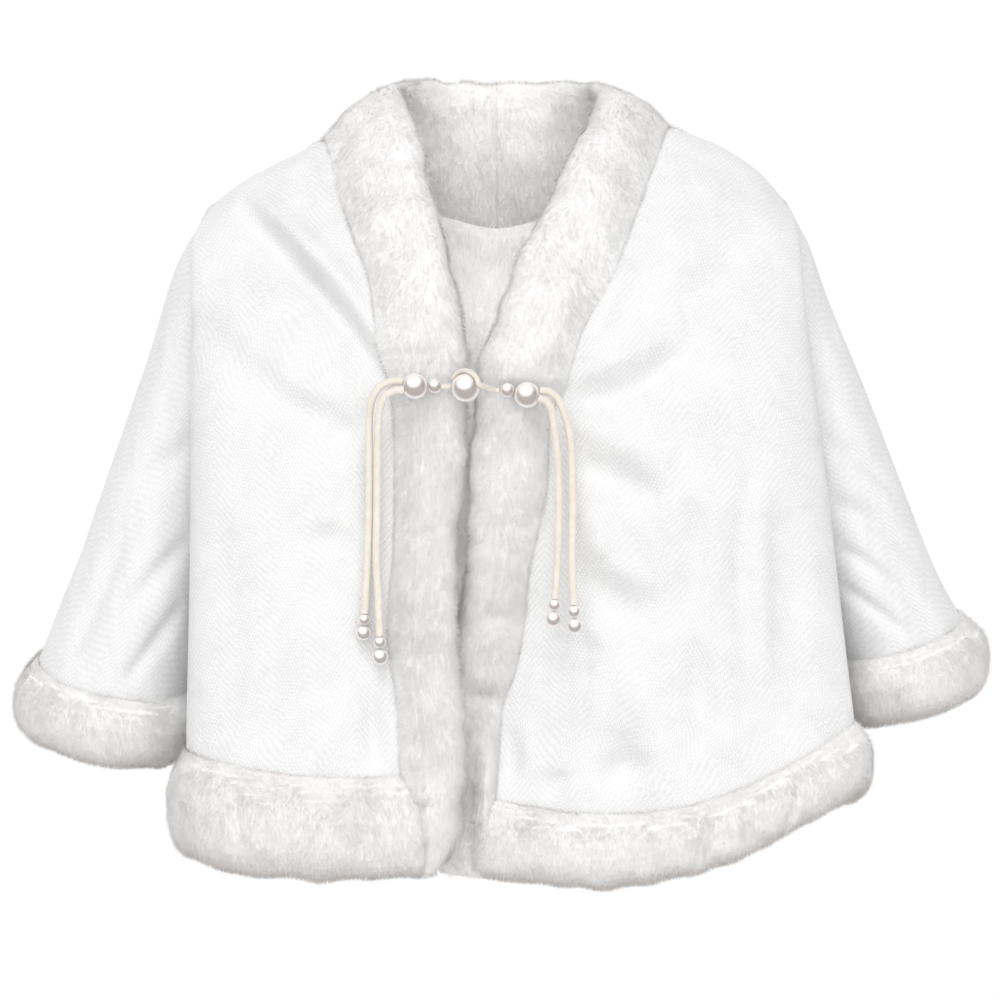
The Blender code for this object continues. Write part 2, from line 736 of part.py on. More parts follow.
def build_closure():
    """The pearls across the front, the stem and loop of the middle one, and the four hanging tails."""
    for row in PEARLS:
        add_bead(row.name, from_front(row.x, row.z, row.y), row.diameter)
    rows = {row.name: row for row in PEARLS}
    small, button = rows["pearl_right_small"], rows["pearl_button"]
    ends = [from_front(row.x, row.z, row.y) for row in (small, button)]
    way = (ends[1] - ends[0]) / np.linalg.norm(ends[1] - ends[0])
    stem_start = ends[0] + way * (small.diameter * MM / 2 + SEAM_GAP)
    stem_end = ends[1] - way * (button.diameter * MM / 2 + SEAM_GAP)
    add_cord("button_stem", [stem_start, (stem_start + stem_end) / 2, stem_end], 3, LOOP_CORD)
    add_cord("button_loop", loop_route(button, rows["pearl_left_small"]), TAIL_POINTS, LOOP_CORD)
    for name, route in TAILS.items():
        end, way = add_cord(name, [from_front(x, z, y) for x, z, y in route], TAIL_POINTS, CORD)
        way /= np.linalg.norm(way)
        place = end + way * SEAM_GAP
        for order, diameter in zip(("upper", "lower"), TAIL_BEADS[name]):
            place = place + way * diameter * MM / 2
            add_bead(name.replace("tail", "bead") + "_" + order, place, diameter)
            place = place + way * (diameter * MM / 2 + SEAM_GAP)


for old in list(bpy.data.objects):
    bpy.data.objects.remove(old)
parts = bpy.data.collections.new("cape")
bpy.context.scene.collection.children.link(parts)
root = bpy.data.objects.new("cape", None)
parts.objects.link(root)

tweed = new_material("white tweed", TWEED, 0.9)
plush = new_material("white plush", PLUSH, 0.95)
lining = new_material("plush lining", PLUSH, 0.95)
velvet = new_material("cream velvet cord", VELVET, 0.8)
pearl = new_material("pearl", PEARL, 0.2)

RIGHT = Side(
    "right", -1, RIGHT_EDGE, RIGHT_WIDE, RIGHT_SLEEVE, RIGHT_FOLDS,
    crown=0, sag=5, bulge=4, seam=(-165, -215, -483), fur_height=(74, 80, 72), cuff=(52, 12),
    closure_row=6, hem_row=12,
)
LEFT = Side(
    "left", 1, LEFT_EDGE, LEFT_WIDE, LEFT_SLEEVE, LEFT_FOLDS,
    crown=8, sag=33, bulge=16, seam=(180, 240, -463), fur_height=(57, 50, 72), cuff=(52, 6),
    closure_row=7, hem_row=15,
)
build_trunk(RIGHT, LEFT)
for half in (RIGHT, LEFT):
    build_edge(half)
    build_sleeve(half)
build_closure()
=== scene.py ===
"""Looks of the cape: herringbone cloth, plush trim with a real pile, pearls and velvet cord.

The cloth shells and the trim repeat the sizes of the solids that they stand for, in metres, with the
wearer facing -Y. What is seen from the front is given in millimetres as the eye of the camera sees it.
"""

import math
from collections import namedtuple

import bpy
import numpy as np
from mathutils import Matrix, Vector


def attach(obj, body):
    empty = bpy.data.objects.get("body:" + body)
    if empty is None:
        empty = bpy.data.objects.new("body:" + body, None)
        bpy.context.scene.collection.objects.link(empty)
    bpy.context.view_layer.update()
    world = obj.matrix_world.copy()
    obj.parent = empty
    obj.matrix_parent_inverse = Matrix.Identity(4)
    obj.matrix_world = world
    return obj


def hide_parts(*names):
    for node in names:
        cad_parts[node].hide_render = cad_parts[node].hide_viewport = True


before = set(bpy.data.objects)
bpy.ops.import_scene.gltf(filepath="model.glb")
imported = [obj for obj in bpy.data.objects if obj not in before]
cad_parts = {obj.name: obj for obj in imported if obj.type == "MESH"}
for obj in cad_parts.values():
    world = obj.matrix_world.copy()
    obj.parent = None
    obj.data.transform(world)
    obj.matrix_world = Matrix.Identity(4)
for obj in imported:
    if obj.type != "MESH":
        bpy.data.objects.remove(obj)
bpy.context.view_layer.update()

MM = 0.001

# Walls and gaps of the solids
CLOTH = 2.6 * MM
LINING = 2.0 * MM
SEAM_GAP = 0.3 * MM
RIDGE_GAP = 0.2 * MM
SHOULDER_ROLL = 7 * MM
SHOULDER_DROP = 1.2 * MM
EDGE_GAP = 0.8 * MM
LINING_GAP = 0.6 * MM
ARMHOLE_INSET = 0.4 * MM
ARMHOLE_OVERLAP = 6 * MM

# Shoulder tips: how the sleeve's inner ring and the worn cloth are drawn in there, and where the back is thin
ARMHOLE_DRAWN_IN = 0.97
TIP_DRAW = 4 * MM
TIP_DROP = 5.5 * MM
TIP_REACH = 27 * MM
TIP_THIN_WITHIN = 36 * MM
TIP_THIN_OVER = 30 * MM
TIP_THIN_SHARE = 0.08

# Reach of the plush: whole thickness of a strip, and how far its middle stands out past the cloth
COLLAR_FUR = (24 * MM, 3 * MM)
BAND_FUR = (22 * MM, 3 * MM)
HEM_FUR = (25 * MM, 5 * MM)
CUFF_FUR = (24 * MM, 4 * MM)
FUR_SQUARENESS = 2.5

# The camera: its distance from the point that it looks at, its height angle, and that point
EYE_DISTANCE = 4.0
EYE_PITCH = math.radians(7)
EYE_AIM_X = 2.4 * MM
EYE_AIM_Z = -292.2 * MM
FRAME_WIDTH = 800.5 * MM
SENSOR = 36.0

# Rows of the panels: round the armhole by its own angle, then evenly down the side seam
ARM_ANGLES = [math.radians(degrees) for degrees in (0, 9, 22.5, 45, 67.5, 90, 112.5, 135, 157.5, 180)]
ARM_ROWS = len(ARM_ANGLES) - 1
SIDE_ROWS = 6
FACE_COLUMNS = 8
TURN_COLUMNS = 3
NECK_COLUMNS = 8
FACE_ROUNDNESS = 2.2
TURN_LEAN = 0.15
NECK_SHARE = 0.36
SMOOTH_STEPS = 16

# Form of a front on its way down: where it sags, how soon it bulges, and how fast its crown and tip fall
SAG_FROM = 0.5
BULGE_GROWTH = 1.6
CROWN_FALL = 4
WIDE_FALL = 6
FOLD_SWELL = 0.5
FOLD_START_ROWS = 2

# Back: depth of its middle and of its widest line, at these shares of the way down (mm)
BackRow = namedtuple("BackRow", "share middle_y wide_y")
BACK_ROWS = (
    BackRow(0.0, 92, 2),
    BackRow(0.02, 94, 24),
    BackRow(0.08, 101, 45),
    BackRow(0.16, 108, 59),
    BackRow(0.3, 116, 72),
    BackRow(0.6, 122, 84),
    BackRow(1.0, 134, 88),
)
BACK_HEM_Z = -515 * MM
BACK_FUR_HEIGHT = 76 * MM
BACK_TOP_BLEND = 0.32
BACK_TIP_BLEND = 0.02
HEM_FLARE = 5 * MM
TRUNK_MIDDLE = (0, 0, -0.3)
BEHIND_BACK = (0, 1.0, -0.3)
CUFF_HANG = 0.5

# Each strip of collar and front band: its edge on the cloth and its free edge, seen from the front (mm)
EdgeRow = namedtuple("EdgeRow", "cloth_x cloth_z cloth_y free_x free_z free_y")
RIGHT_EDGE = (
    EdgeRow(-134, -2, 0, -70, 28, -8),
    EdgeRow(-132, -7, -17, -67, 15, -24),
    EdgeRow(-125, -38, -50, -58, -12, -50),
    EdgeRow(-112, -77, -82, -46, -63, -88),
    EdgeRow(-98, -118, -104, -33, -113, -114),
    EdgeRow(-94, -162, -120, -23.5, -160, -128),
    EdgeRow(-81, -202, -126, -22.5, -202, -134),
    EdgeRow(-78, -233, -129, -23, -233, -135),
    EdgeRow(-78, -322, -135, -30, -322, -140),
    EdgeRow(-83, -394, -139, -32, -394, -143),
    EdgeRow(-77, -444, -142, -26, -444, -146),
    EdgeRow(-74, -484, -145, -25, -484, -148),
    EdgeRow(-72, -517, -148, -25, -517, -150),
    EdgeRow(-64.5, -564, -150, -30, -560, -150),
    EdgeRow(-60, -592, -150, -41, -581, -150),
)
LEFT_EDGE = (
    EdgeRow(133, 7, 0, 78, 30, -8),
    EdgeRow(131, 3, -14, 75, 21, -22),
    EdgeRow(123, -19, -38, 66, 0, -45),
    EdgeRow(110, -55, -70, 44, -44, -82),
    EdgeRow(97, -91, -93, 23, -85, -106),
    EdgeRow(86, -126, -110, 7, -122, -120),
    EdgeRow(65, -158, -120, -7, -158, -130),
    EdgeRow(52, -196, -126, -19, -192, -134),
    EdgeRow(38, -228, -128, -20.5, -228, -134),
    EdgeRow(35, -285, -130, -23.5, -285, -131),
    EdgeRow(21, -349, -124, -27, -349, -122),
    EdgeRow(17, -395, -117, -36, -395, -112),
    EdgeRow(9, -432, -114, -46, -432, -108),
    EdgeRow(0, -457, -112, -54, -457, -107),
    EdgeRow(-4, -500, -114, -58, -500, -109),
    EdgeRow(-6, -535, -118, -60, -535, -112),
    EdgeRow(-9.5, -572, -121, -60, -570, -115),
    EdgeRow(-12, -594, -122, -48, -588, -117),
)

# The same strip behind the neck, from the middle of the back, for the right side
BACK_COLLAR = (
    EdgeRow(0, -72, 92, 0, 43.5, 72),
    EdgeRow(-52, -60, 85, -34, 43.5, 64),
    EdgeRow(-95, -37, 65, -62, 43, 44),
    EdgeRow(-124, -12, 34, -76, 40, 14),
)

# Widest line of each front, where it turns back towards the sleeve (mm, seen from the front)
WideRow = namedtuple("WideRow", "x z y")
RIGHT_WIDE = (
    WideRow(-227, -48, -1),
    WideRow(-239, -66, -22),
    WideRow(-245, -90, -42),
    WideRow(-245, -150, -62),
    WideRow(-245, -226, -70),
    WideRow(-246, -348, -73),
    WideRow(-248, -450, -75),
    WideRow(-249, -520, -76),
)
LEFT_WIDE = (
    WideRow(231, -45, -1),
    WideRow(240, -64, -22),
    WideRow(244, -92, -42),
    WideRow(248, -144, -62),
    WideRow(261, -256, -70),
    WideRow(271, -348, -73),
    WideRow(284, -450, -75),
    WideRow(290, -500, -76),
)

# Rings of each sleeve: the line over the arm, the line under it, and the depth (mm, seen from the front)
SleeveRow = namedtuple("SleeveRow", "over_x over_z under_x under_z middle_y half_y")
RIGHT_SLEEVE = (
    SleeveRow(-236, -56, -203, -285, 0, 42),
    SleeveRow(-246, -80, -217, -295, 2, 43),
    SleeveRow(-260, -114, -225, -312, 3, 45),
    SleeveRow(-278, -174, -231, -341, 4, 48),
    SleeveRow(-301, -241, -236, -374, 6, 50),
    SleeveRow(-331, -328, -241, -412, 8, 52),
    SleeveRow(-368, -423, -247, -445, 10, 52),
)
LEFT_SLEEVE = (
    SleeveRow(239, -53, 212, -280, 0, 42),
    SleeveRow(248, -80, 227, -290, 2, 43),
    SleeveRow(263, -126, 238, -309, 3, 45),
    SleeveRow(287, -185, 248, -336, 4, 48),
    SleeveRow(317, -262, 257, -365, 6, 50),
    SleeveRow(347, -338, 266, -395, 8, 52),
    SleeveRow(373, -389, 276, -418, 10, 52),
)

# Largest folds of the fronts: a trough pressed in along a line, seen from the front (mm)
FoldRow = namedtuple("FoldRow", "start_x start_z end_x end_z width depth")
RIGHT_FOLDS = (
    FoldRow(-196, -64, -104, -166, 22, 8),
    FoldRow(-170, -196, -112, -211, 24, 5),
)
LEFT_FOLDS = (
    FoldRow(66, -204, 176, -96, 24, 8),
    FoldRow(54, -246, 112, -360, 30, 8),
    FoldRow(110, -480, 108, -530, 26, 6),
)

# Creases on top of those folds: a soft trough (or ridge, below 0) along a bowed line, with a lip
# beside it (mm, seen from the front, and on the back by place)
Crease = namedtuple("Crease", "start_x start_z end_x end_z width depth bow lip")
RIGHT_CREASES = (
    Crease(-204, -52, -86, -188, 10.5, 7.4, 8, 5.6),
    Crease(-214, -70, -150, -112, 17, 2.2, -4, 1.0),
    Crease(-152, -22, -120, -66, 12, 2.6, 3, 1.5),
    Crease(-186, -194, -100, -222, 13, 2.6, -6, 2.0),
    Crease(-236, -130, -166, -198, 16, 1.8, -6, 1.4),
    Crease(-132, -226, -108, -240, 9, 2.0, 2, 1.0),
    Crease(-154, -316, -110, -322, 12, 2.4, 4, 1.2),
    Crease(-98, -440, -92, -520, 9, 2.8, 3, 1.4),
    Crease(-208, -300, -202, -486, 18, 1.6, 7, 1.2),
    Crease(-166, -340, -158, -498, 15, 1.5, -5, 1.0),
)
LEFT_CREASES = (
    Crease(56, -206, 156, -160, 14, 5.0, -4, 4.0),
    Crease(58, -176, 100, -96, 12, -3.5, 3, 0.0),
    Crease(58, -220, 146, -250, 13, -4.4, 4, 0.0),
    Crease(66, -254, 140, -288, 12, 3.2, 5, 1.8),
    Crease(84, -296, 92, -336, 12, -3.0, 2, 0.0),
    Crease(62, -334, 128, -376, 15, 3.8, -5, 1.8),
    Crease(66, -396, 84, -420, 12, 3.0, 2, 0.8),
    Crease(163, -290, 164, -380, 9, 2.0, 3, 1.4),
    Crease(207, -270, 208, -440, 9, 2.2, -4, 1.8),
    Crease(168, -404, 171, -500, 13, 2.8, 4, 1.6),
    Crease(236, -300, 244, -470, 14, 1.4, 5, 1.0),
    Crease(120, -140, 206, -60, 16, 2.0, -6, 1.2),
    Crease(112, -478, 102, -532, 14, 3.2, 3, 1.6),
    Crease(14, -470, 16, -524, 9, 3.2, 2, 1.0),
    Crease(60, -512, 52, -540, 11, 3.0, -3, 1.2),
)
BACK_CREASES = (
    Crease(-60, -150, -96, -480, 20, 3.6, 10, 1.6),
    Crease(34, -190, 58, -490, 22, 3.2, -9, 1.6),
    Crease(-168, -180, -190, -470, 18, 2.8, -8, 1.4),
    Crease(150, -170, 188, -470, 18, 3.0, 9, 1.4),
    Crease(-130, -80, -40, -190, 16, 2.6, -9, 1.2),
    Crease(128, -76, 52, -170, 15, 2.4, 8, 1.2),
    Crease(-20, -330, -4, -500, 18, 2.2, 6, 1.0),
    Crease(106, -300, 118, -490, 16, 2.0, -5, 1.0),
)

# Fineness of the cloth shells
PANEL_STEP = 3.4 * MM

# All creases: their depth against the tables, their wall beside the line, and how they fade to their ends
CREASE_SCALE = 2.2
CREASE_WALL = 0.75
CREASE_END_FADE = 0.6

# Where creases fade to the edges of a panel, and faint waves between them: height, size and seed
CREASE_FADE = 30 * MM
EDGE_CREASE_FADE = 16 * MM
EDGE_CREASE_LEAST = 0.5
Wave = namedtuple("Wave", "height size seed")
FRONT_WAVE = Wave(0.5 * MM, 30 * MM, 11)
BACK_WAVE = Wave(0.6 * MM, 30 * MM, 12)
SLEEVE_WAVE = Wave(0.6 * MM, 26 * MM, 13)

# Soft swells (below 0) and hollows of the fronts, as rounds (mm, seen from the front)
Dent = namedtuple("Dent", "x z wide tall depth")
RIGHT_DENTS = (
    Dent(-180, -130, 30, 26, -2.5),
    Dent(-120, -262, 24, 20, -2.0),
    Dent(-130, -400, 40, 46, -2.0),
    Dent(-94, -486, 12, 26, 2.4),
)
LEFT_DENTS = (
    Dent(96, -452, 36, 24, -5.0),
    Dent(107, -506, 15, 11, 9.0),
    Dent(150, -212, 36, 20, -2.5),
    Dent(86, -316, 18, 22, -2.0),
    Dent(94, -362, 22, 16, 2.5),
    Dent(196, -360, 20, 60, -2.0),
    Dent(36, -450, 18, 30, -2.5),
)

# Creases of the sleeves: how far along and how far round from the front, as shares, and width and
# depth (mm)
SleeveCrease = namedtuple("SleeveCrease", "along_start round_start along_end round_end width depth")
LEFT_SLEEVE_CREASES = (
    SleeveCrease(0.30, 0.26, 0.66, 0.06, 5, 2.2),
    SleeveCrease(0.42, 0.31, 0.80, 0.07, 6, 2.6),
    SleeveCrease(0.55, 0.33, 0.92, 0.12, 5, 2.2),
    SleeveCrease(0.22, 0.22, 0.50, 0.03, 6, 1.8),
    SleeveCrease(0.66, 0.36, 0.97, 0.19, 6, 2.0),
    SleeveCrease(0.10, 0.20, 0.30, 0.04, 8, 1.8),
    SleeveCrease(0.20, 0.62, 0.75, 0.86, 9, 3.0),
    SleeveCrease(0.40, 0.60, 0.95, 0.74, 9, 2.6),
)
RIGHT_SLEEVE_CREASES = (
    SleeveCrease(0.18, 0.30, 0.52, 0.13, 9, 2.4),
    SleeveCrease(0.38, 0.36, 0.78, 0.20, 8, 2.2),
    SleeveCrease(0.58, 0.38, 0.95, 0.26, 8, 2.4),
    SleeveCrease(0.62, 0.14, 0.98, 0.09, 10, 2.0),
    SleeveCrease(0.20, 0.64, 0.70, 0.84, 9, 3.0),
    SleeveCrease(0.45, 0.60, 0.96, 0.76, 10, 2.6),
)

# Dents of the plush, or swells below 0: place along the strip as a share, half length and depth (mm),
# slant along its width, place across its width from -1 at its free edge to 1 at the cloth, and half
# width on the same scale
Tuck = namedtuple("Tuck", "share half_length depth slant across spread")
TUCKS = {
    "band_right": (
        Tuck(0.16, 16, 1.6, 0.2, 0.5, 0.7),
        Tuck(0.30, 6, 3.2, 0.3, 0.2, 0.6),
        Tuck(0.48, 8, 3.0, -0.4, 0.4, 0.7),
        Tuck(0.55, 6, 2.6, 0.3, 0.0, 0.5),
        Tuck(0.72, 9, 2.6, 0.4, 0.5, 0.6),
        Tuck(0.86, 4, 3.4, 0.3, 0.5, 0.6),
    ),
    "band_left": (
        Tuck(0.84, 70, 12.0, 0.0, 0.2, 0.33),
        Tuck(0.84, 60, -6.0, 0.0, 0.8, 0.2),
        Tuck(0.14, 10, 2.0, 0.3, 0.3, 0.8),
        Tuck(0.30, 9, 2.4, -0.4, 0.8, 0.6),
        Tuck(0.47, 8, 2.6, 0.5, 0.2, 0.6),
        Tuck(0.64, 7, 3.0, 0.4, 0.5, 0.7),
        Tuck(0.83, 7, 3.2, 0.2, 0.2, 0.8),
    ),
    "collar_right": (
        Tuck(0.46, 14, 1.8, 0.5, 0.6, 0.6),
        Tuck(0.62, 9, 3.0, -0.9, 0.0, 0.5),
        Tuck(0.74, 10, 1.8, -0.6, -0.2, 0.5),
        Tuck(0.93, 9, 2.2, 0.3, 0.4, 0.7),
    ),
    "collar_left": (
        Tuck(0.47, 9, 2.2, 0.4, 0.8, 0.5),
        Tuck(0.60, 10, 1.8, -0.5, 0.0, 0.6),
        Tuck(0.76, 9, 2.0, 0.4, 0.5, 0.6),
        Tuck(0.90, 12, 1.6, 0.3, -0.2, 0.7),
    ),
    "hem_right": (
        Tuck(0.10, 8, 2.6, 0.4, 0.3, 0.7),
        Tuck(0.31, 14, 2.0, -0.3, -0.5, 0.7),
        Tuck(0.46, 7, 3.0, 0.3, 0.1, 0.7),
        Tuck(0.64, 18, 2.2, 0.2, -0.3, 0.8),
    ),
    "hem_left": (
        Tuck(0.22, 9, 3.0, -0.5, -0.3, 0.6),
        Tuck(0.43, 5, 4.6, 0.3, 0.0, 1.0),
        Tuck(0.51, 5, 4.0, -0.3, -0.1, 0.8),
        Tuck(0.61, 5, 3.6, 0.4, 0.2, 0.9),
        Tuck(0.78, 12, 2.0, 0.3, -0.3, 0.7),
    ),
    "hem_back": (
        Tuck(0.22, 9, 2.8, 0.2, 0.0, 0.9),
        Tuck(0.38, 8, 3.0, -0.3, -0.3, 0.7),
        Tuck(0.57, 7, 3.4, 0.3, 0.1, 0.9),
        Tuck(0.74, 10, 2.6, 0.2, -0.2, 0.8),
    ),
    "cuff_right": (
        Tuck(0.10, 9, 2.6, 0.3, 0.2, 0.8),
        Tuck(0.28, 12, 2.0, -0.3, -0.3, 0.7),
        Tuck(0.62, 9, 2.8, 0.2, 0.0, 0.9),
    ),
    "cuff_left": (
        Tuck(0.13, 9, 2.6, 0.4, 0.0, 0.8),
        Tuck(0.30, 8, 2.6, -0.2, -0.2, 0.7),
        Tuck(0.66, 9, 2.8, 0.2, 0.0, 0.9),
    ),
}

# Closure: pearls on one line across the front, and the depth of their middles (mm, seen from the front)
PearlRow = namedtuple("PearlRow", "name x z y diameter")
PEARLS = (
    PearlRow("pearl_right_big", -65.7, -201, -153, 20),
    PearlRow("pearl_right_small", -49.9, -201, -152, 11),
    PearlRow("pearl_button", -25.2, -202.4, -158, 22),
    PearlRow("pearl_left_small", 8.3, -204.3, -152, 11),
    PearlRow("pearl_left_big", 24, -208, -153, 20),
)
# Way that the painted highlight on top of each pearl faces
PAINTED_HIGHLIGHT_WAY = (-0.1, -0.8, 0.59)
PEARL_ROWS, PEARL_COLUMNS = 20, 32
PEARL_FLAT = 0.95
CORD = 6 * MM
LOOP_CORD = 4 * MM
LOOP_LEAN = (0, 0, 1)
LOOP_ASIDE = (0.8, -0.6, 0)
LOOP_START, LOOP_END = math.radians(15), math.radians(150)
LOOP_TURNS = 14

# Hanging tails: the way each one takes from its pearl to its end beads (mm, seen from the front)
TAILS = {
    "tail_right_outer": (
        (-75.9, -197, -155), (-85, -197, -156), (-93, -201, -156), (-99, -209, -154), (-102, -222, -151),
        (-102.5, -245, -148), (-102.5, -290, -147), (-103.5, -335, -147), (-106, -383, -148),
    ),
    "tail_right_inner": (
        (-75.3, -204, -158), (-83, -204.5, -160), (-89, -208, -160), (-93, -215, -158), (-95, -228, -155),
        (-95.5, -250, -151), (-96, -300, -149), (-96.5, -340, -150), (-95, -370, -151), (-94, -401, -151),
    ),
    "tail_left_inner": (
        (33.8, -211, -157), (39, -212.5, -159), (42.5, -217, -159), (44.5, -226, -157), (47, -242, -153),
        (49, -265, -150), (49.5, -300, -149), (48.5, -340, -148), (46.4, -371, -148),
    ),
    "tail_left_outer": (
        (34.8, -204.5, -154), (42, -205.5, -155), (48.5, -211, -155), (53.5, -222, -153), (57.5, -236, -150),
        (59.7, -255, -148), (60.5, -295, -147), (60, -335, -147), (61.6, -376, -148),
    ),
}
TAIL_BEADS = {
    "tail_right_outer": (9, 11.5),
    "tail_right_inner": (9.6, 12.5),
    "tail_left_inner": (9.5, 12),
    "tail_left_outer": (10, 12),
}
TAIL_POINTS = 32
STEM_POINTS = 3
CORD_ROUNDNESS = 4

# Soft random patches: how many waves make them up, and what brings their sum to about 1
PATCH_WAVES = 14
PATCH_HEIGHT = 5.0

# Skin of the plush: its fineness, and how it lies inside the reach of the strip
STRIP_STEP = 3.5 * MM
STRIP_ROUND = 30
SKIN_THICKNESS_SHARE = 0.9
SKIN_EDGE_INSET = 2 * MM
SKIN_OVERLAP = 4 * MM
SKIN_LUMPS = (Wave(1.1 * MM, 22 * MM, 3), Wave(0.5 * MM, 8 * MM, 4), Wave(0.3 * MM, 3.5 * MM, 5))
EDGE_WAVE = Wave(2.2 * MM, 9 * MM, 6)
CLOTH_EDGE_TAPER = 0.5
TAPER_FROM = 0.1
TUCK_SLANT_REACH = 20 * MM
END_ROUND = 24 * MM
END_LEAST = 0.03

# How much farther each strip goes at its first and at its last end
COLLAR_ENDS = (1 * MM, 3 * MM)
BAND_ENDS = (3 * MM, 0.0)
HEM_ENDS = (12 * MM, 3 * MM)
BACK_HEM_ENDS = (3 * MM, 3 * MM)

# Pile: its length, its lean, and how it wanders in patches and from hair to hair
PILE_LENGTH = 4.4 * MM
PILE_REACH = (0.75, 1.1)
PILE_TALL = ((0.12, 14 * MM), (0.08, 5 * MM))
PILE_FALL = 0.6
PILE_WANDER = 0.3
PILE_WANDER_SIZE = 11 * MM
PILE_SCATTER = 0.12
PILE_SPLAY = 1.2
PILE_LEAN = math.radians(66)
PILE_LEAN_UNEVEN = 0.1
PILE_LEAN_SIZE = 8 * MM
PILE_LEAN_LIMITS = (0.2, 1.45)
PILE_EDGE_LIFT = math.radians(30)
PILE_UPRIGHT = 0.08
PILE_WIDTH = 0.34 * MM
PILE_UNEVEN = 0.1

# Where the pile is thinner, because it is hidden: its share there against the shown side
HIDDEN_PILE = {"collar_right": 0.8, "collar_left": 0.8}
HIDDEN_PILE_ELSEWHERE = 0.3
HIDDEN_PILE_TURN = 0.6

# Pile of the lining, fuller where it shows in the neck
LINING_PILE = 5 * MM
LINING_EDGE_ROWS = 5
LINING_SEEN_ROWS = 45
LINING_HIDDEN_PILE = 0.35

# Hairs of each strip, and the seeds that their random draws start from
HAIRS = {
    "collar_right": 68000, "collar_left": 68000, "band_right": 52000, "band_left": 52000,
    "hem_right": 56000, "hem_left": 60000, "hem_back": 76000, "cuff_right": 50000, "cuff_left": 46000,
    "back_lining": 40000,
}
HEM_SEED, BACK_HEM_SEED, LINING_SEED, EDGE_SEED, CUFF_SEED = 20, 24, 31, 40, 50

# Weave of the tweed: sizes of its ribs, and scale and detail of its irregular parts
WEAVE = (("Rib", 5.4 * MM), ("Band", 19 * MM), ("Slope", 2.6), ("Stitch", 3.8 * MM))
WEAVE_WANDER = (120.0, 2.0)
WEAVE_WORN = (70.0, 2.0)
WEAVE_SLUB = (420.0, 1.0)
WEAVE_BROAD = (26.0, 3.0)
WEAVE_ASIDE, WEAVE_DOWN = 2.0 * MM, 3.0 * MM
WORN_LIMITS = (0.3, 0.65)
WORN_LEAST = 0.25
STITCH_OFFSET = 0.5
SLUB_SHARE = 0.5
BROAD_SHARE = 0.35

# Nap: detail of its tufts and patches, and how much the patches count in its height and in its colour level,
# which paints shade where the nap is low
TUFT_DETAIL, PATCH_DETAIL = 3.0, 2.0
PATCH_RISE = 0.8
PATCH_SHADE = 0.6

# Hair: how much its colour changes from root to tip, its darker roots being painted shade, and from hair to
# hair at random
PAINTED_ROOT_SHADE_SHARE, HAIR_TONE_SHARE = 0.8, 0.3

# Pearl: where its painted pale reflection towards the edge and its painted bright highlight on top begin and
# are whole, and how cloudy it is
PAINTED_RIM_REFLECTION = (0.25, 0.62)
PAINTED_TOP_HIGHLIGHT = (0.72, 0.93)
PEARL_CLOUDS = 0.15

# Colours, each from its dark to its light
# The tweed's dark end is painted shade where its weave is low, with broad random patches
TWEED_COLOURS = ((0.72, 0.723, 0.726), (0.90, 0.90, 0.898))
# The dark ends of the lining and the plush are painted shade where their nap is low, with random patches
LINING_COLOURS = ((0.92, 0.908, 0.895), (0.985, 0.98, 0.974))
SKIN_COLOURS = ((0.88, 0.872, 0.864), (0.975, 0.971, 0.967))
# The hair's dark end is its painted shade at the roots, mixed with a random tone
HAIR_COLOURS = ((0.885, 0.877, 0.87), (0.94, 0.936, 0.932))
# The velvet's dark end is painted shade where its nap is low, with random patches
VELVET_COLOURS = ((0.75, 0.67, 0.58), (0.85, 0.80, 0.73))
VELVET_SHEEN = (1.0, 0.95, 0.88)
# The pearl's pair are its painted grey-brown reflection and its painted pale reflection and highlight
PAINTED_PEARL_REFLECTIONS = ((0.40, 0.35, 0.325), (0.95, 0.89, 0.865))
FLOOR_COLOUR = (0.98, 0.98, 0.98, 1)

# Painted warm shade of the plush where it looks down low on the cape, and a faint warm tone in random patches
PAINTED_UNDERSIDE_SHADE = (0.66, 0.60, 0.56)
PAINTED_SHADE_TURN = (-0.1, -0.9)
PAINTED_SHADE_LEVELS = (-0.3, -0.4)
WARM_CLOUDS = (24.0, 3.0)
WARM_LIMITS = (0.5, 0.75)
WARM_MOST = 0.3

# Light, and the floor far below the cape
FLOOR_Z = -1.1
FLOOR_HALF = 120.0
WORLD_STRENGTH = 0.44
Sun = namedtuple("Sun", "name place strength angle")
SUNS = (
    Sun("sun", (-0.45, -2.3, 3.6), 1.22, math.radians(30)),
    Sun("fill", (0.3, -4.0, 0.4), 1.36, math.radians(70)),
    Sun("back", (-0.6, 4.0, 1.6), 1.3, math.radians(60)),
)
NeckLamp = namedtuple("NeckLamp", "name place aim power")
NECK_LAMPS = (
    NeckLamp("collar lamp", (0, -0.07, 0.03), (0, 0.08, -0.015), 0.0125),
    NeckLamp("lining lamp", (0, -0.07, -0.15), (0, 0.1, -0.155), 0.024),
)
NECK_LAMP_WIDTH, NECK_LAMP_HEIGHT = 0.09, 0.05
NECK_SPREAD = math.radians(68)
NECK_COLOUR = (1.0, 0.98, 0.96)


class Side:
    """The measures of one side of the cape, brought from the front view to their places."""

    def __init__(
        self, name, sign, edge, wide, sleeve, folds, creases, dents, sleeve_creases,
        crown, sag, bulge, seam, fur_height, cuff, closure_row, hem_row,
    ):
        self.name = name
        self.sign = sign
        neck = [row._replace(cloth_x=-sign * row.cloth_x, free_x=-sign * row.free_x) for row in BACK_COLLAR]
        strip = with_outward(smooth([strip_points(row) for row in neck + list(edge)]))
        self.neck_step = len(neck) * SMOOTH_STEPS
        self.closure_step = (len(neck) + closure_row) * SMOOTH_STEPS
        self.strip = strip
        self.hem_inner = strip[(len(neck) + hem_row) * SMOOTH_STEPS][2]
        self.wide = smooth([from_front(*row) for row in wide])
        self.rings = [sleeve_ring(row) for row in sleeve]
        self.tip = self.rings[0][0]
        self.folds = folds
        self.creases = creases
        self.dents = dents
        self.sleeve_creases = sleeve_creases
        self.sag = sag * MM
        self.crown = crown * MM
        self.bulge = bulge * MM
        self.seam = [value * MM for value in seam]
        self.fur_height = [value * MM for value in fur_height]
        self.cuff_height, self.cuff_dip = (value * MM for value in cuff)


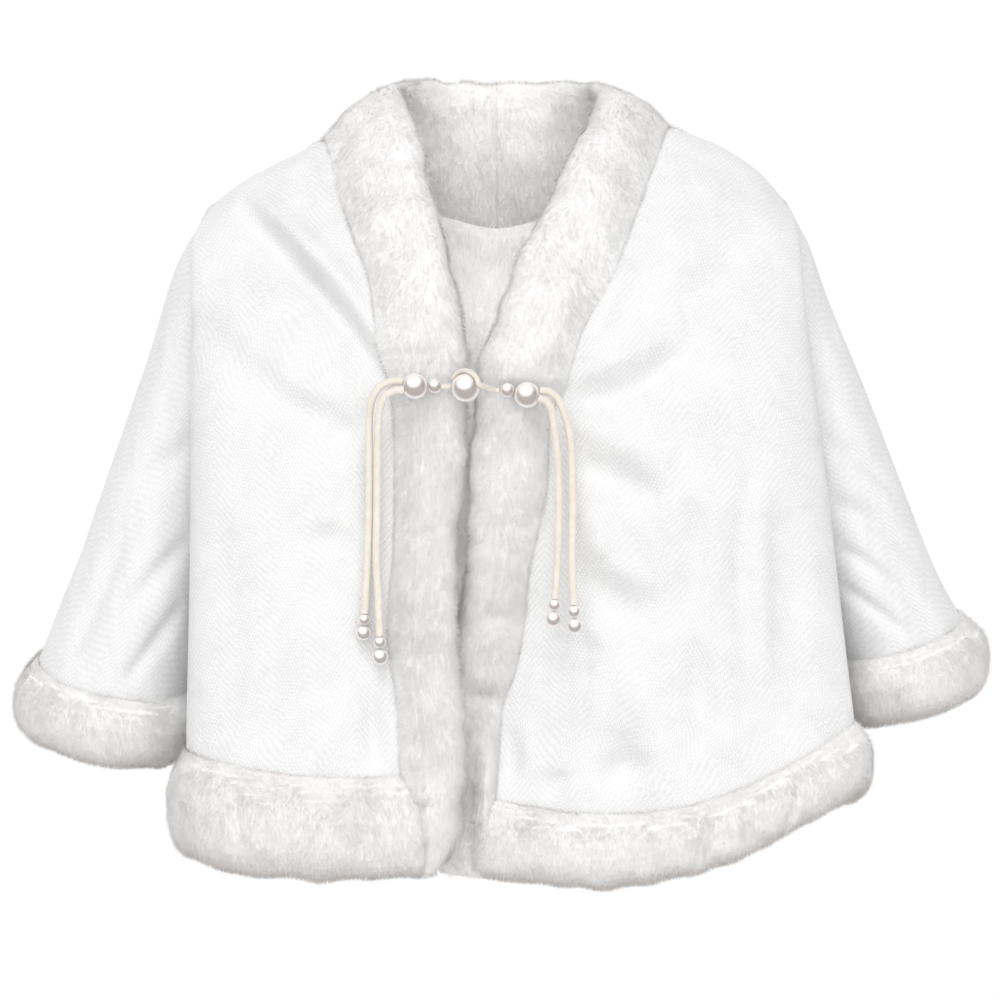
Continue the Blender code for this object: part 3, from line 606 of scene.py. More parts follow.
def from_front(x, z, y):
    """The place at depth y of a point seen from the front at x and z (mm)."""
    across = x * MM - EYE_AIM_X
    rise = z * MM - EYE_AIM_Z
    deep = y * MM
    sine = math.sin(EYE_PITCH)
    cosine = math.cos(EYE_PITCH)
    above = rise * (EYE_DISTANCE + deep * cosine) - EYE_DISTANCE * deep * sine
    above /= EYE_DISTANCE * cosine + rise * sine
    scale = (EYE_DISTANCE + deep * cosine - above * sine) / EYE_DISTANCE
    return np.array([EYE_AIM_X + across * scale, deep, EYE_AIM_Z + above])


def seen_from_front(points):
    """Where points are seen from the front, as x and z in mm."""
    above = points[..., 2] - EYE_AIM_Z
    sine = math.sin(EYE_PITCH)
    cosine = math.cos(EYE_PITCH)
    scale = EYE_DISTANCE / (EYE_DISTANCE + points[..., 1] * cosine - above * sine)
    x = EYE_AIM_X + (points[..., 0] - EYE_AIM_X) * scale
    z = EYE_AIM_Z + (above * cosine + points[..., 1] * sine) * scale
    return x / MM, z / MM


def strip_points(row):
    """The two edge points of one section of a fur strip, as six numbers."""
    cloth = from_front(row.cloth_x, row.cloth_z, row.cloth_y)
    free = from_front(row.free_x, row.free_z, row.free_y)
    return np.concatenate([cloth, free])


def with_outward(strip):
    """A strip's two edges, and beside them the way its fur stands out from the body."""
    cloth, free = strip[:, :3], strip[:, 3:]
    along = np.gradient((cloth + free) / 2, axis=0)
    along[0, 1:] = 0
    out = np.cross(along, free - cloth)
    out /= np.linalg.norm(out, axis=1, keepdims=True)
    if out[0, 1] < 0:
        out = -out
    return np.hstack([strip, out])


def beside(section):
    """A point just off the cloth edge of a strip's section, where the panel ends."""
    cloth, free = section[:3], section[3:6]
    return cloth + (cloth - free) / np.linalg.norm(cloth - free) * EDGE_GAP


def sleeve_ring(row):
    """The points over and under the arm on one ring of a sleeve, and the half depth there."""
    over = from_front(row.over_x, row.over_z, row.middle_y)
    under = from_front(row.under_x, row.under_z, row.middle_y)
    return over, under, row.half_y * MM


def spline(rows, places):
    """Values on a smooth curve through rows, at places counted in rows."""
    rows = np.asarray(rows, float)
    ends = np.concatenate([2 * rows[:1] - rows[1:2], rows, 2 * rows[-1:] - rows[-2:-1]])
    first = np.clip(np.floor(places).astype(int), 0, len(rows) - 2)
    t = (places - first).reshape((-1,) + (1,) * (rows.ndim - 1))
    before, start, end, after = (ends[first + step] for step in range(4))
    bend = 2 * before - 5 * start + 4 * end - after
    twist = 3 * start - before - 3 * end + after
    return start + 0.5 * t * (end - before + t * (bend + t * twist))


def smooth(rows, steps=SMOOTH_STEPS):
    """A smooth curve through the rows, with the same number of steps between each two."""
    return spline(rows, np.arange((len(rows) - 1) * steps + 1) / steps)


def at(points, value, axis=2):
    """The point of a curve where one coordinate, which only rises or only falls along it, has this value."""
    order = np.argsort(points[:, axis])
    key = points[order, axis]
    return np.array([np.interp(value, key, points[order, i]) for i in range(points.shape[1])])


def ease(share):
    """A smooth step from 0 to 1."""
    share = np.clip(share, 0.0, 1.0)
    return share * share * (3 - 2 * share)


def oval(ring, angle, front):
    """A point on a ring of a sleeve or armhole, by its angle from the top, on its front or back half."""
    over, under, half = ring
    point = (over + under) / 2 + (over - under) / 2 * math.cos(angle)
    point[1] += (-half if front else half) * math.sin(angle)
    return point


def falls(top, under, low):
    """The heights of the rows between three levels, on the rule of the armhole."""
    arm = [under + (top - under) * (1 + math.cos(angle)) / 2 for angle in ARM_ANGLES]
    return arm + [under + (low - under) * step / SIDE_ROWS for step in range(1, SIDE_ROWS + 1)]


def bend(start, corner, end, share):
    """A place on the curve from start to end that leans towards the corner."""
    return (1 - share) ** 2 * start + 2 * share * (1 - share) * corner + share**2 * end


def seam_points(side, front):
    """The outer edge of a panel, row by row: down the armhole, then down the side seam to the hem."""
    gap = -RIDGE_GAP / 2 if front else RIDGE_GAP / 2
    points = [oval(side.rings[0], angle, front) for angle in ARM_ANGLES]
    points[0][1] += gap
    under = side.rings[0][1]
    middle_x, low_x, low_z = side.seam
    for step in range(1, SIDE_ROWS + 1):
        share = step / SIDE_ROWS
        x = bend(under[0], middle_x, low_x, share)
        z = under[2] + share * (low_z - under[2])
        points.append(np.array([x, under[1], z]))
    for point in points[ARM_ROWS:]:
        point[1] += gap
    return points


def wide_points(side, seam):
    """The widest line of a front, row by row, a little above the armhole at the shoulder tip."""
    top = side.wide[0][2]
    rise = top - seam[0][2]
    span = seam[0][2] - seam[-1][2]
    levels = [point[2] + rise * (1 - (seam[0][2] - point[2]) / span) ** WIDE_FALL for point in seam]
    return [at(side.wide, level) for level in levels]


def turn(wide, seam, share):
    """A point of the turned-in side of a panel, from its widest line to its seam."""
    corner = np.array([wide[0], wide[1] + TURN_LEAN * (seam[1] - wide[1]), (wide[2] + seam[2]) / 2])
    return bend(wide, corner, seam, share)


def fold_depth(folds, x, z):
    """How far the folds press a front in at a place."""
    depth = 0.0
    for fold in folds:
        start = np.array([fold.start_x, fold.start_z]) * MM
        run = np.array([fold.end_x - fold.start_x, fold.end_z - fold.start_z]) * MM
        share = np.clip(np.dot([x - start[0], z - start[1]], run) / np.dot(run, run), 0, 1)
        away = math.dist((x, z), start + share * run) / (fold.width * MM)
        depth += fold.depth * MM * math.exp(-away * away)
    return depth


def inner_levels(side):
    """The heights of a front's rows at the edge it shares with the collar and the band."""
    neck = side.strip[side.neck_step]
    seam_under = side.rings[0][1][2]
    return falls(neck[2], seam_under, side.hem_inner)


def front_grid(side):
    """Rows of points over a front, from the fur edge to the armhole and side seam."""
    seam = seam_points(side, front=True)
    wide = wide_points(side, seam)
    strip = side.strip[side.neck_step:]
    grid = []
    for row, level in enumerate(inner_levels(side)):
        inner = beside(at(strip, level))
        down = row / (len(seam) - 1)
        low = ease((down - SAG_FROM) / (1 - SAG_FROM))
        line = []
        for column in range(FACE_COLUMNS + 1):
            angle = column / FACE_COLUMNS * math.pi / 2
            out = math.sin(angle) ** (2 / FACE_ROUNDNESS)
            deep = math.cos(angle) ** (2 / FACE_ROUNDNESS) if column < FACE_COLUMNS else 0.0
            point = inner + (wide[row] - inner) * out
            point[1] = wide[row][1] + (inner[1] - wide[row][1]) * deep
            swell = math.sin(math.pi * out)
            point[1] -= side.bulge * swell * ease(down * BULGE_GROWTH)
            point[2] -= side.sag * swell * low
            point[2] += side.crown * swell * (1 - down) ** CROWN_FALL
            pressed = fold_depth(side.folds, point[0], point[2])
            point[1] += pressed * swell**FOLD_SWELL * ease(row / FOLD_START_ROWS)
            line.append(point)
        line += [turn(wide[row], seam[row], step / TURN_COLUMNS) for step in range(1, TURN_COLUMNS + 1)]
        grid.append(line)
    flatten_ridge(grid, -RIDGE_GAP / 2)
    return grid


def flatten_ridge(grid, gap, first=0):
    """Sets the first row on the shoulder seam and the second level beside it, so that the walls meet."""
    roll = math.copysign(SHOULDER_ROLL, gap)
    for column in range(first, len(grid[0])):
        x, _, z = grid[0][column]
        grid[0][column] = np.array([x, gap, z])
        if 0 < column < len(grid[0]) - 1:
            grid[1][column] = np.array([x, roll, z - SHOULDER_DROP])


def neck_sections(side):
    """The sections of the collar behind the neck, one for each column of the back there."""
    neck = side.strip[:side.neck_step + 1]
    half = NECK_COLUMNS // 2
    return [at(neck, neck[-1][0] * step / half, axis=0) for step in range(half)]


def down_shares(side):
    """How far down the side each row of a panel is, as a share."""
    heights = np.array([point[2] for point in seam_points(side, front=False)])
    return (heights[0] - heights) / (heights[0] - heights[-1])


def back_half(side, shoulder, middle_shares):
    """Rows of points over half of the back, from its middle to the armhole and side seam of one side."""
    seam = seam_points(side, front=False)
    side_shares = down_shares(side)
    wide = wide_points(side, seam)
    table = smooth([(row.share, row.middle_y * MM, row.wide_y * MM) for row in BACK_ROWS])
    half_neck = NECK_COLUMNS // 2
    tops = [beside(section) for section in neck_sections(side)]
    tops += [np.array([point[0], RIDGE_GAP / 2, point[2]]) for point in shoulder]
    shares = [NECK_SHARE * step / half_neck for step in range(half_neck)]
    shares += [NECK_SHARE + (1 - NECK_SHARE) * step / FACE_COLUMNS for step in range(FACE_COLUMNS + 1)]
    grid = []
    for row, edge in enumerate(seam):
        _, middle_y, wide_y = at(table, side_shares[row], axis=0)
        width = wide[row][0]
        line = []
        for top, across in zip(tops, shares):
            angle = across * math.pi / 2
            deep = max(math.cos(angle), 0.0) ** (2 / FACE_ROUNDNESS)
            x = width * math.sin(angle) ** (2 / FACE_ROUNDNESS)
            y = wide_y + (middle_y - wide_y) * deep
            down = side_shares[row] + (middle_shares[row] - side_shares[row]) * deep
            low_z = seam[-1][2] + (BACK_HEM_Z - seam[-1][2]) * deep
            settled = ease(side_shares[row] / (BACK_TOP_BLEND * (1 - across) + BACK_TIP_BLEND))
            z = top[2] + down * (low_z - top[2])
            line.append(np.array([top[0] + settled * (x - top[0]), top[1] + settled * (y - top[1]), z]))
        outer = line[-1]
        line += [turn(outer, edge, step / TURN_COLUMNS) for step in range(1, TURN_COLUMNS + 1)]
        grid.append(line)
    flatten_ridge(grid, RIDGE_GAP / 2, half_neck)
    return grid


def back_grid(right, left, fronts):
    """Rows of points over the whole back, from the right side seam to the left."""
    shoulders = [fronts[side.name][0][:FACE_COLUMNS + 1] for side in (right, left)]
    shares = (down_shares(right) + down_shares(left)) / 2
    halves = [back_half(side, shoulder, shares) for side, shoulder in zip((right, left), shoulders)]
    grid = []
    for one, other in zip(*halves):
        middle = (one[0] + other[0]) / 2
        grid.append(one[:0:-1] + [middle] + other[1:])
    return grid


def grid_normals(grid):
    """The unit normals of a grid of points."""
    points = np.array(grid)
    normals = np.cross(np.gradient(points, axis=1), np.gradient(points, axis=0))
    return normals / np.linalg.norm(normals, axis=2, keepdims=True)


def sleeve_grid(side):
    """Rings of points down a sleeve, the first just inside the armhole."""
    rings = [np.concatenate([over, under, [half]]) for over, under, half in side.rings]
    over, under, half = rings[0][:3], rings[0][3:6], rings[0][6]
    inset = ARMHOLE_INSET * (under - over) / np.linalg.norm(under - over)
    rings[0] = np.concatenate([over + inset, under - inset, [half - ARMHOLE_INSET]])
    grid = []
    for step, ring in enumerate(rings):
        parts = (ring[:3], ring[3:6], ring[6])
        line = [oval(parts, angle, True) for angle in ARM_ANGLES]
        line += [oval(parts, angle, False) for angle in ARM_ANGLES[-2:0:-1]]
        dip = side.cuff_dip * (step / (len(rings) - 1)) ** 2
        for point in line:
            point[2] += dip * (point[1] - parts[0][1]) / parts[2]
        grid.append(line)
    centre = np.mean(grid[0], axis=0)
    within = centre + (np.array(grid[0]) - centre) * ARMHOLE_DRAWN_IN - (side.sign * ARMHOLE_OVERLAP, 0, 0)
    return [list(within)] + grid


def round_tips(points, sides):
    """Points of the cloth, drawn in and down round the shoulder tips, where it falls away softly."""
    for side in sides:
        away = np.linalg.norm(points - side.tip, axis=-1) / TIP_REACH
        share = np.exp(-away * away)
        points = points + share[..., None] * np.array([-side.sign * TIP_DRAW, 0, -TIP_DROP])
    return points


def cuff_edges(side, sleeve):
    """The upper and lower edge of a cuff, which hangs from the end of its sleeve."""
    end = np.array(sleeve[-1])
    run = end.mean(axis=0) - np.array(sleeve[-2]).mean(axis=0)
    way = run / np.linalg.norm(run) * (1 - CUFF_HANG) + np.array([0, 0, -CUFF_HANG])
    way /= np.linalg.norm(way)
    top = end + way * SEAM_GAP
    return top, top + way * side.cuff_height


def hem_edges(side, front):
    """The upper and lower edge of the hem trim under a front."""
    top = np.array(front[-1]) - (0, 0, EDGE_GAP)
    count = len(top)
    low = top.copy()
    inner, middle, outer = side.fur_height
    for column in range(count):
        share = column / (count - 1)
        swell = middle - (inner + outer) / 2
        low[column, 2] -= inner + (outer - inner) * share + swell * math.sin(math.pi * share)
        low[column, 1] -= HEM_FLARE * (1 - share)
    corner = at(side.strip, low[0, 2])
    low[0, 0] = corner[0] + side.sign * SEAM_GAP
    top[0, 0] += side.sign * SEAM_GAP
    return top, low


def outward(top, low, inside, ring=False):
    """The way out from the inside at each section between two edges, square to the strip."""
    middle = (top + low) / 2
    if ring:
        along = np.roll(middle, -1, axis=0) - np.roll(middle, 1, axis=0)
    else:
        along = np.gradient(middle, axis=0)
    out = np.cross(along, top - low)
    out /= np.linalg.norm(out, axis=1, keepdims=True)
    return out if np.sum(out * (middle - inside)) > 0 else -out


# Finer forms

def even_places(grid, step):
    """Places along the rows of a grid, counted in rows, about a step apart on the surface."""
    lengths = np.linalg.norm(np.diff(grid, axis=0), axis=2).mean(axis=1)
    run = np.concatenate([[0], np.cumsum(lengths)])
    count = max(int(round(run[-1] / step)), 2) + 1
    return np.interp(np.linspace(0, run[-1], count), run, np.arange(len(run)))


def refine_with_places(grid, step):
    """A finer grid through the same points, smooth both ways, and its rows and columns counted in the old."""
    grid = np.array(grid)
    rows = even_places(grid, step)
    turned = spline(grid, rows).transpose(1, 0, 2)
    columns = even_places(turned, step)
    return spline(turned, columns).transpose(1, 0, 2), rows, columns


def refine(grid, step):
    """A finer grid through the same points, smooth both ways."""
    return refine_with_places(grid, step)[0]


def patches(points, size, seed):
    """A soft random value for each point, between about -1 and 1, in patches of this size."""
    generator = np.random.default_rng(seed)
    waves = generator.normal(size=(PATCH_WAVES, 3)) / size
    starts = generator.uniform(0, 2 * math.pi, PATCH_WAVES)
    return np.sin(points @ waves.T + starts).sum(axis=-1) / PATCH_HEIGHT


def waved(grid, wave):
    """The depth of faint waves over a grid."""
    return wave.height * patches(grid, wave.size, wave.seed)


def sleeve_crease(row, length, girth):
    """A crease of a sleeve, in mm round it and along it."""
    start = (row.round_start * girth, row.along_start * length)
    end = (row.round_end * girth, row.along_end * length)
    return Crease(*start, *end, row.width, row.depth, bow=0, lip=0)


def crease_depth(creases, x, z):
    """How far creases press a panel in, at places given in mm."""
    depth = np.zeros_like(x)
    for crease in creases:
        run = np.array([crease.end_x - crease.start_x, crease.end_z - crease.start_z], float)
        length = np.hypot(*run)
        run /= length
        along = ((x - crease.start_x) * run[0] + (z - crease.start_z) * run[1]) / length
        aside = (x - crease.start_x) * -run[1] + (z - crease.start_z) * run[0]
        inside = np.clip(along, 0, 1)
        aside = (aside - crease.bow * 4 * inside * (1 - inside)) / crease.width
        fade = np.sin(math.pi * inside) ** CREASE_END_FADE
        depth += fade * crease.depth * np.exp(-((aside + CREASE_WALL) ** 2))
        depth -= fade * crease.lip * np.exp(-((aside - CREASE_WALL) ** 2))
    return depth * CREASE_SCALE * MM


def dent_depth(dents, x, z):
    """How far the hollows press a panel in, at places given in mm."""
    depth = np.zeros_like(x)
    for dent in dents:
        depth += dent.depth * np.exp(-(((x - dent.x) / dent.wide) ** 2) - ((z - dent.z) / dent.tall) ** 2)
    return depth * MM


def edge_fade(grid, reach, sides):
    """A mask that falls to 0 at the named sides of a grid, over this reach."""
    rows = np.linalg.norm(np.diff(grid, axis=0), axis=2).mean()
    columns = np.linalg.norm(np.diff(grid, axis=1), axis=2).mean()
    row = np.arange(grid.shape[0])[:, None] * rows / reach
    column = np.arange(grid.shape[1])[None, :] * columns / reach
    masks = {"first_row": row, "last_row": row[::-1], "first_column": column, "last_column": column[:, ::-1]}
    fade = np.ones(grid.shape[:2])
    for side in sides:
        fade = fade * ease(masks[side])
    return fade


def lengths_along(points):
    """The distance of each point of a line from its first, along the line."""
    return np.concatenate([[0], np.cumsum(np.linalg.norm(np.diff(points, axis=0), axis=1))])


def surface_lengths(grid):
    """The distance of each point of a grid from its first column and from its first row, on the surface."""
    across = np.zeros(grid.shape[:2])
    down = np.zeros(grid.shape[:2])
    across[:, 1:] = np.cumsum(np.linalg.norm(np.diff(grid, axis=1), axis=2), axis=1)
    down[1:] = np.cumsum(np.linalg.norm(np.diff(grid, axis=0), axis=2), axis=0)
    return across, down


# Meshes

def mesh_from_arrays(name, points, quads, triangles=None):
    """A mesh from arrays of points, of quads and of triangles, smooth all over."""
    mesh = bpy.data.meshes.new(name)
    loops = np.asarray(quads, np.int32).reshape(-1)
    counts = np.full(len(quads), 4, np.int32)
    if triangles is not None:
        loops = np.concatenate([loops, np.asarray(triangles, np.int32).reshape(-1)])
        counts = np.concatenate([counts, np.full(len(triangles), 3, np.int32)])
    mesh.vertices.add(len(points))
    mesh.vertices.foreach_set("co", np.asarray(points, np.float32).reshape(-1))
    mesh.loops.add(len(loops))
    mesh.loops.foreach_set("vertex_index", loops)
    mesh.polygons.add(len(counts))
    mesh.polygons.foreach_set("loop_start", np.concatenate([[0], np.cumsum(counts)[:-1]]).astype(np.int32))
    mesh.polygons.foreach_set("loop_total", counts)
    mesh.update(calc_edges=True)
    mesh.polygons.foreach_set("use_smooth", np.ones(len(counts), bool))
    return mesh


def grid_quads(rows, columns, wrap_rows=False, wrap_columns=False):
    """The quads between the points of a grid, closed round where it wraps."""
    index = np.arange(rows * columns).reshape(rows, columns)
    if wrap_rows:
        index = np.vstack([index, index[:1]])
    if wrap_columns:
        index = np.hstack([index, index[:, :1]])
    corners = (index[:-1, :-1], index[:-1, 1:], index[1:, 1:], index[1:, :-1])
    return np.stack([corner.ravel() for corner in corners], axis=1)


def quad_normals(corners):
    """The normals of quads by their corners, twice as long as their areas."""
    return np.cross(corners[:, 2] - corners[:, 0], corners[:, 3] - corners[:, 1])


def cap(edge, centre, flip):
    """Triangles from a closed edge to a centre, turned over if told to."""
    following = np.roll(edge, -1)
    pair = (following, edge) if flip else (edge, following)
    return np.stack([*pair, np.full(len(edge), centre)], axis=1)


def facing(points, quads, inside):
    """The quads, turned over if they face the inside, which is one point or one for each quad."""
    corners = points[quads]
    outside = np.sum(quad_normals(corners) * (corners.mean(axis=1) - inside))
    return quads if outside > 0 else quads[:, ::-1]


def add_piece(name, data, materials, nodes=()):
    """A piece of the cape, riding on its one body, with its finish and the solids that it stands for."""
    for material in materials:
        data.materials.append(material)
    piece = bpy.data.objects.new(name, data)
    bpy.context.scene.collection.objects.link(piece)
    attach(piece, "root")
    if nodes:
        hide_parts(*nodes)
    return piece


def set_map(mesh, name, values):
    """A map of two numbers for each corner of a mesh, from two for each vertex."""
    layer = mesh.uv_layers.new(name=name)
    corners = np.empty(len(mesh.loops), np.int32)
    mesh.loops.foreach_get("vertex_index", corners)
    layer.data.foreach_set("uv", np.asarray(values, np.float32)[corners].reshape(-1))


def add_cloth(name, grid, inside, across, down, thickness, materials, closed=False):
    """A thin shell of cloth over a grid, with its weave's lengths as a map."""
    rows, columns = grid.shape[:2]
    points = grid.reshape(-1, 3)
    quads = facing(points, grid_quads(rows, columns, wrap_columns=closed), np.array(inside))
    mesh = mesh_from_arrays(name, points, quads)
    set_map(mesh, "cloth", np.stack([across.ravel(), down.ravel()], axis=1))
    piece = add_piece(name + "_cloth", mesh, materials, [name])
    shell = piece.modifiers.new("cloth", "SOLIDIFY")
    shell.thickness = thickness
    shell.offset = -1
    shell.material_offset = len(materials) - 1
    return piece


def thin_tips(piece, points, sides):
    """Thins a shell of cloth round the shoulder tips, where it turns too tightly for its whole thickness."""
    weights = np.ones(len(points))
    for side in sides:
        away = np.linalg.norm(points - side.tip, axis=1)
        weights = np.minimum(weights, ease((away - TIP_THIN_WITHIN) / TIP_THIN_OVER))
    group = piece.vertex_groups.new(name="whole thickness")
    for index, weight in enumerate(weights):
        group.add([index], float(weight), "REPLACE")
    shell = piece.modifiers["cloth"]
    shell.vertex_group = group.name
    shell.thickness_vertex_group = TIP_THIN_SHARE


# Plush

def tuck_depth(tucks, along, across, length):
    """How far dents press a strip in, by the distance along it and the place across its width."""
    depth = np.zeros(np.broadcast(along, across).shape)
    for tuck in tucks:
        place = tuck.share * length + tuck.slant * across * TUCK_SLANT_REACH
        away = (along - place) / (tuck.half_length * MM)
        beside_it = (across - tuck.across) / tuck.spread
        depth = depth + tuck.depth * MM * np.exp(-away * away - beside_it * beside_it)
    return depth


def skin_grid(name, rows, fur, ring=False, rounded=False):
    """The skin under a strip's pile, drawn in from its reach, with the ways out and towards its edges.

    A ring goes all the way round, and a rounded strip thins out at its first end.
    """
    if ring:
        rows = np.vstack([rows, rows[:1]])
    rows = spline(rows, even_places(rows[:, :6].reshape(-1, 2, 3), STRIP_STEP))
    if ring:
        rows = rows[:-1]
    top, low, out = rows[:, :3], rows[:, 3:6], unit(rows[:, 6:])
    thickness, proud = fur
    half = unit(top - low)
    top = top + half * SKIN_OVERLAP
    wave = EDGE_WAVE.height * patches(low, EDGE_WAVE.size, EDGE_WAVE.seed)
    low = low + half * (SKIN_EDGE_INSET + wave[:, None])
    middle = (top + low) / 2
    width = np.linalg.norm(top - low, axis=1, keepdims=True) / 2
    angles = 2 * math.pi * np.arange(STRIP_ROUND) / STRIP_ROUND
    circle = (np.cos(angles), np.sin(angles))
    across, up = (np.sign(part) * np.abs(part) ** (2 / FUR_SQUARENESS) for part in circle)
    along = lengths_along(middle)
    tucks = tuck_depth(TUCKS[name], along[:, None], across[None, :], along[-1])
    taper = 1 - CLOTH_EDGE_TAPER * ease((across - TAPER_FROM) / (1 - TAPER_FROM)) * (up > 0)
    rise = thickness / 2 * SKIN_THICKNESS_SHARE * up * taper + proud * up * up * taper
    reach = rise[None, :] - tucks * np.maximum(up, 0)[None, :]
    if rounded:
        reach *= np.sqrt(1 - (1 - np.clip(along / END_ROUND, END_LEAST, 1)) ** 2)[:, None]
    sideways = (half * width)[:, None] * across[None, :, None]
    grid = middle[:, None] + sideways + out[:, None] * reach[:, :, None]
    lumps = sum(patches(grid, lump.size, lump.seed) * lump.height for lump in SKIN_LUMPS)
    grid = grid + out[:, None] * (lumps * np.abs(up)[None, :])[:, :, None]
    edge = half[:, None] * (across**3)[None, :, None]
    free = np.broadcast_to(np.maximum(-across, 0) ** 3, grid.shape[:2])
    return grid, np.broadcast_to(out[:, None], grid.shape), np.broadcast_to(edge, grid.shape), free


def add_skin(name, grid, quads, ring):
    """The closed skin of a strip of plush."""
    rows, columns = grid.shape[:2]
    points = grid.reshape(-1, 3)
    triangles = np.empty((0, 3), int)
    if not ring:
        points = np.vstack([points, grid[0].mean(axis=0), grid[-1].mean(axis=0)])
        first = np.arange(columns)
        last = first + (rows - 1) * columns
        turned = quads[0][1] == 1
        middle = rows * columns
        triangles = np.vstack([cap(first, middle, turned), cap(last, middle + 1, not turned)])
    mesh = mesh_from_arrays(name, points, quads, triangles)
    piece = add_piece(name + "_skin", mesh, [plush_skin], [name])
    return piece


def facing_out(grid, ring):
    """The quads round a strip of plush, all facing out from its own middle."""
    rows, columns = grid.shape[:2]
    quads = grid_quads(rows, columns, wrap_rows=ring, wrap_columns=True)
    centres = np.repeat(grid.mean(axis=1), columns, axis=0)
    return facing(grid.reshape(-1, 3), quads, centres[quads[:, 0]])


def unit(vectors):
    """Vectors of length 1."""
    return vectors / np.maximum(np.linalg.norm(vectors, axis=-1, keepdims=True), 1e-12)


def add_pile(name, points, quads, weights, splay, lift, count, length, seed):
    """The hairs of a plush surface as one mesh: short blades, a little combed down, and out at its edges."""
    generator = np.random.default_rng(seed)
    corners = points[quads]
    diagonals = quad_normals(corners)
    chance = np.linalg.norm(diagonals, axis=1) * weights
    chosen = generator.choice(len(quads), size=count, p=chance / chance.sum())
    s, t = generator.uniform(size=(2, count, 1))
    a, b, c, d = (corners[chosen, i] for i in range(4))
    root = (1 - s) * (1 - t) * a + s * (1 - t) * b + s * t * c + (1 - s) * t * d
    normal = unit(diagonals)[chosen]
    wander = np.stack([patches(root, PILE_WANDER_SIZE, seed + k) for k in range(3)], axis=1)
    fall = np.array([0.0, 0.0, -PILE_FALL]) + PILE_WANDER * wander + splay[chosen]
    comb = unit(fall - normal * np.sum(fall * normal, axis=1, keepdims=True))
    lean = PILE_LEAN - PILE_EDGE_LIFT * lift[chosen]
    lean = lean + PILE_LEAN_UNEVEN * patches(root, PILE_LEAN_SIZE, seed + 5)
    lean = lean + generator.normal(0, PILE_SCATTER, count)
    upright = generator.uniform(size=count) < PILE_UPRIGHT
    lean = np.where(upright, PILE_LEAN / 2, np.clip(lean, *PILE_LEAN_LIMITS))[:, None]
    way = unit(normal * np.cos(lean) + comb * np.sin(lean) + generator.normal(0, PILE_SCATTER, (count, 3)))
    tall = 1.0
    for order, (share, size) in enumerate(PILE_TALL):
        tall = tall + share * patches(root, size, seed + 7 + order)
    reach = length * generator.uniform(*PILE_REACH, count) * tall
    wide = unit(np.cross(way, normal + PILE_UNEVEN * generator.normal(size=(count, 3)))) * PILE_WIDTH / 2
    blades = np.stack([root - wide, root + wide, root + way * reach[:, None]], axis=1)
    triangles = np.arange(3 * count).reshape(count, 3)
    mesh = mesh_from_arrays(name, blades.reshape(-1, 3), np.empty((0, 4), int), triangles)
    # Red runs from root to tip and darkens the roots as painted shade; green is a random tone for each hair
    level = np.tile(np.array([0.0, 0.0, 1.0]), count)
    tone = np.repeat(generator.uniform(0, 1, count), 3)
    colour = np.stack([level, tone, np.zeros_like(level), np.ones_like(level)], axis=1)
    layer = mesh.color_attributes.new("hair", "FLOAT_COLOR", "POINT")
    layer.data.foreach_set("color", colour.astype(np.float32).reshape(-1))
    soft = unit(np.repeat(normal + PILE_UNEVEN * generator.normal(size=(count, 3)), 3, axis=0))
    mesh.normals_split_custom_set_from_vertices(soft.astype(np.float32))
    return add_piece(name, mesh, [plush_hair])


def add_trim(name, top, low, out, fur, seed, ring=False, ends=(0.0, 0.0), rounded=False):
    """A strip of plush, its skin and its pile: a ring, or lengthened at its ends and rounded at the first."""
    rows = np.concatenate([np.array(top), np.array(low), np.array(out)], axis=1)
    if not ring:
        rows = lengthened(rows, ends)
    grid, way, edge, free = skin_grid(name, rows, fur, ring, rounded)
    quads = facing_out(grid, ring)
    add_skin(name, grid, quads, ring)
    points = grid.reshape(-1, 3)
    first = quads[:, 0]
    shown = np.sum(unit(quad_normals(points[quads])) * way.reshape(-1, 3)[first], axis=1)
    hidden = HIDDEN_PILE.get(name, HIDDEN_PILE_ELSEWHERE)
    weights = hidden + (1 - hidden) * ease(shown + HIDDEN_PILE_TURN)
    splay = edge.reshape(-1, 3)[first] * PILE_SPLAY
    lift = free.reshape(-1)[first]
    add_pile(name + "_pile", points, quads, weights, splay, lift, HAIRS[name], PILE_LENGTH, seed)


def lengthened(rows, ends):
    """The sections of a strip, with one more before its first and after its last, this much farther on."""
    first, last = rows[0].copy(), rows[-1].copy()
    for section, beyond, following in ((first, ends[0], rows[1]), (last, ends[1], rows[-2])):
        middle = (section[:3] + section[3:6]) / 2
        way = unit(middle - (following[:3] + following[3:6]) / 2)
        section[:6] += np.tile(way * beyond, 2)
    rows = list(rows)
    if ends[0]:
        rows = [first] + rows
    if ends[1]:
        rows = rows + [last]
    return np.array(rows)


# Materials

def node(tree, kind, inputs=None, **settings):
    """A node of a tree, with its settings, and its inputs given as values or as sockets to link."""
    made = tree.nodes.new(kind)
    for key, value in settings.items():
        setattr(made, key, value)
    for key, value in (inputs or {}).items():
        if isinstance(value, bpy.types.NodeSocket):
            tree.links.new(value, made.inputs[key])
        else:
            made.inputs[key].default_value = value
    return made


def math_node(tree, operation, first, second=0.0, third=0.0):
    """The result of one sum on values or sockets."""
    return node(tree, "ShaderNodeMath", {0: first, 1: second, 2: third}, operation=operation).outputs[0]


def noise(tree, place, scale, detail):
    """Soft noise by place."""
    inputs = {"Vector": place, "Scale": scale, "Detail": detail}
    return node(tree, "ShaderNodeTexNoise", inputs).outputs["Fac"]


def between(tree, value, low, high, least=0.0, most=1.0):
    """How far a value is from low to high, from least to most."""
    limits = {"Value": value, "From Min": low, "From Max": high, "To Min": least, "To Max": most}
    return node(tree, "ShaderNodeMapRange", limits).outputs["Result"]


def ripple(tree, turns):
    """A wave between 0 and 1 by its count of turns."""
    sine = math_node(tree, "SINE", math_node(tree, "MULTIPLY", turns, 2 * math.pi))
    return math_node(tree, "MULTIPLY_ADD", sine, 0.5, 0.5)


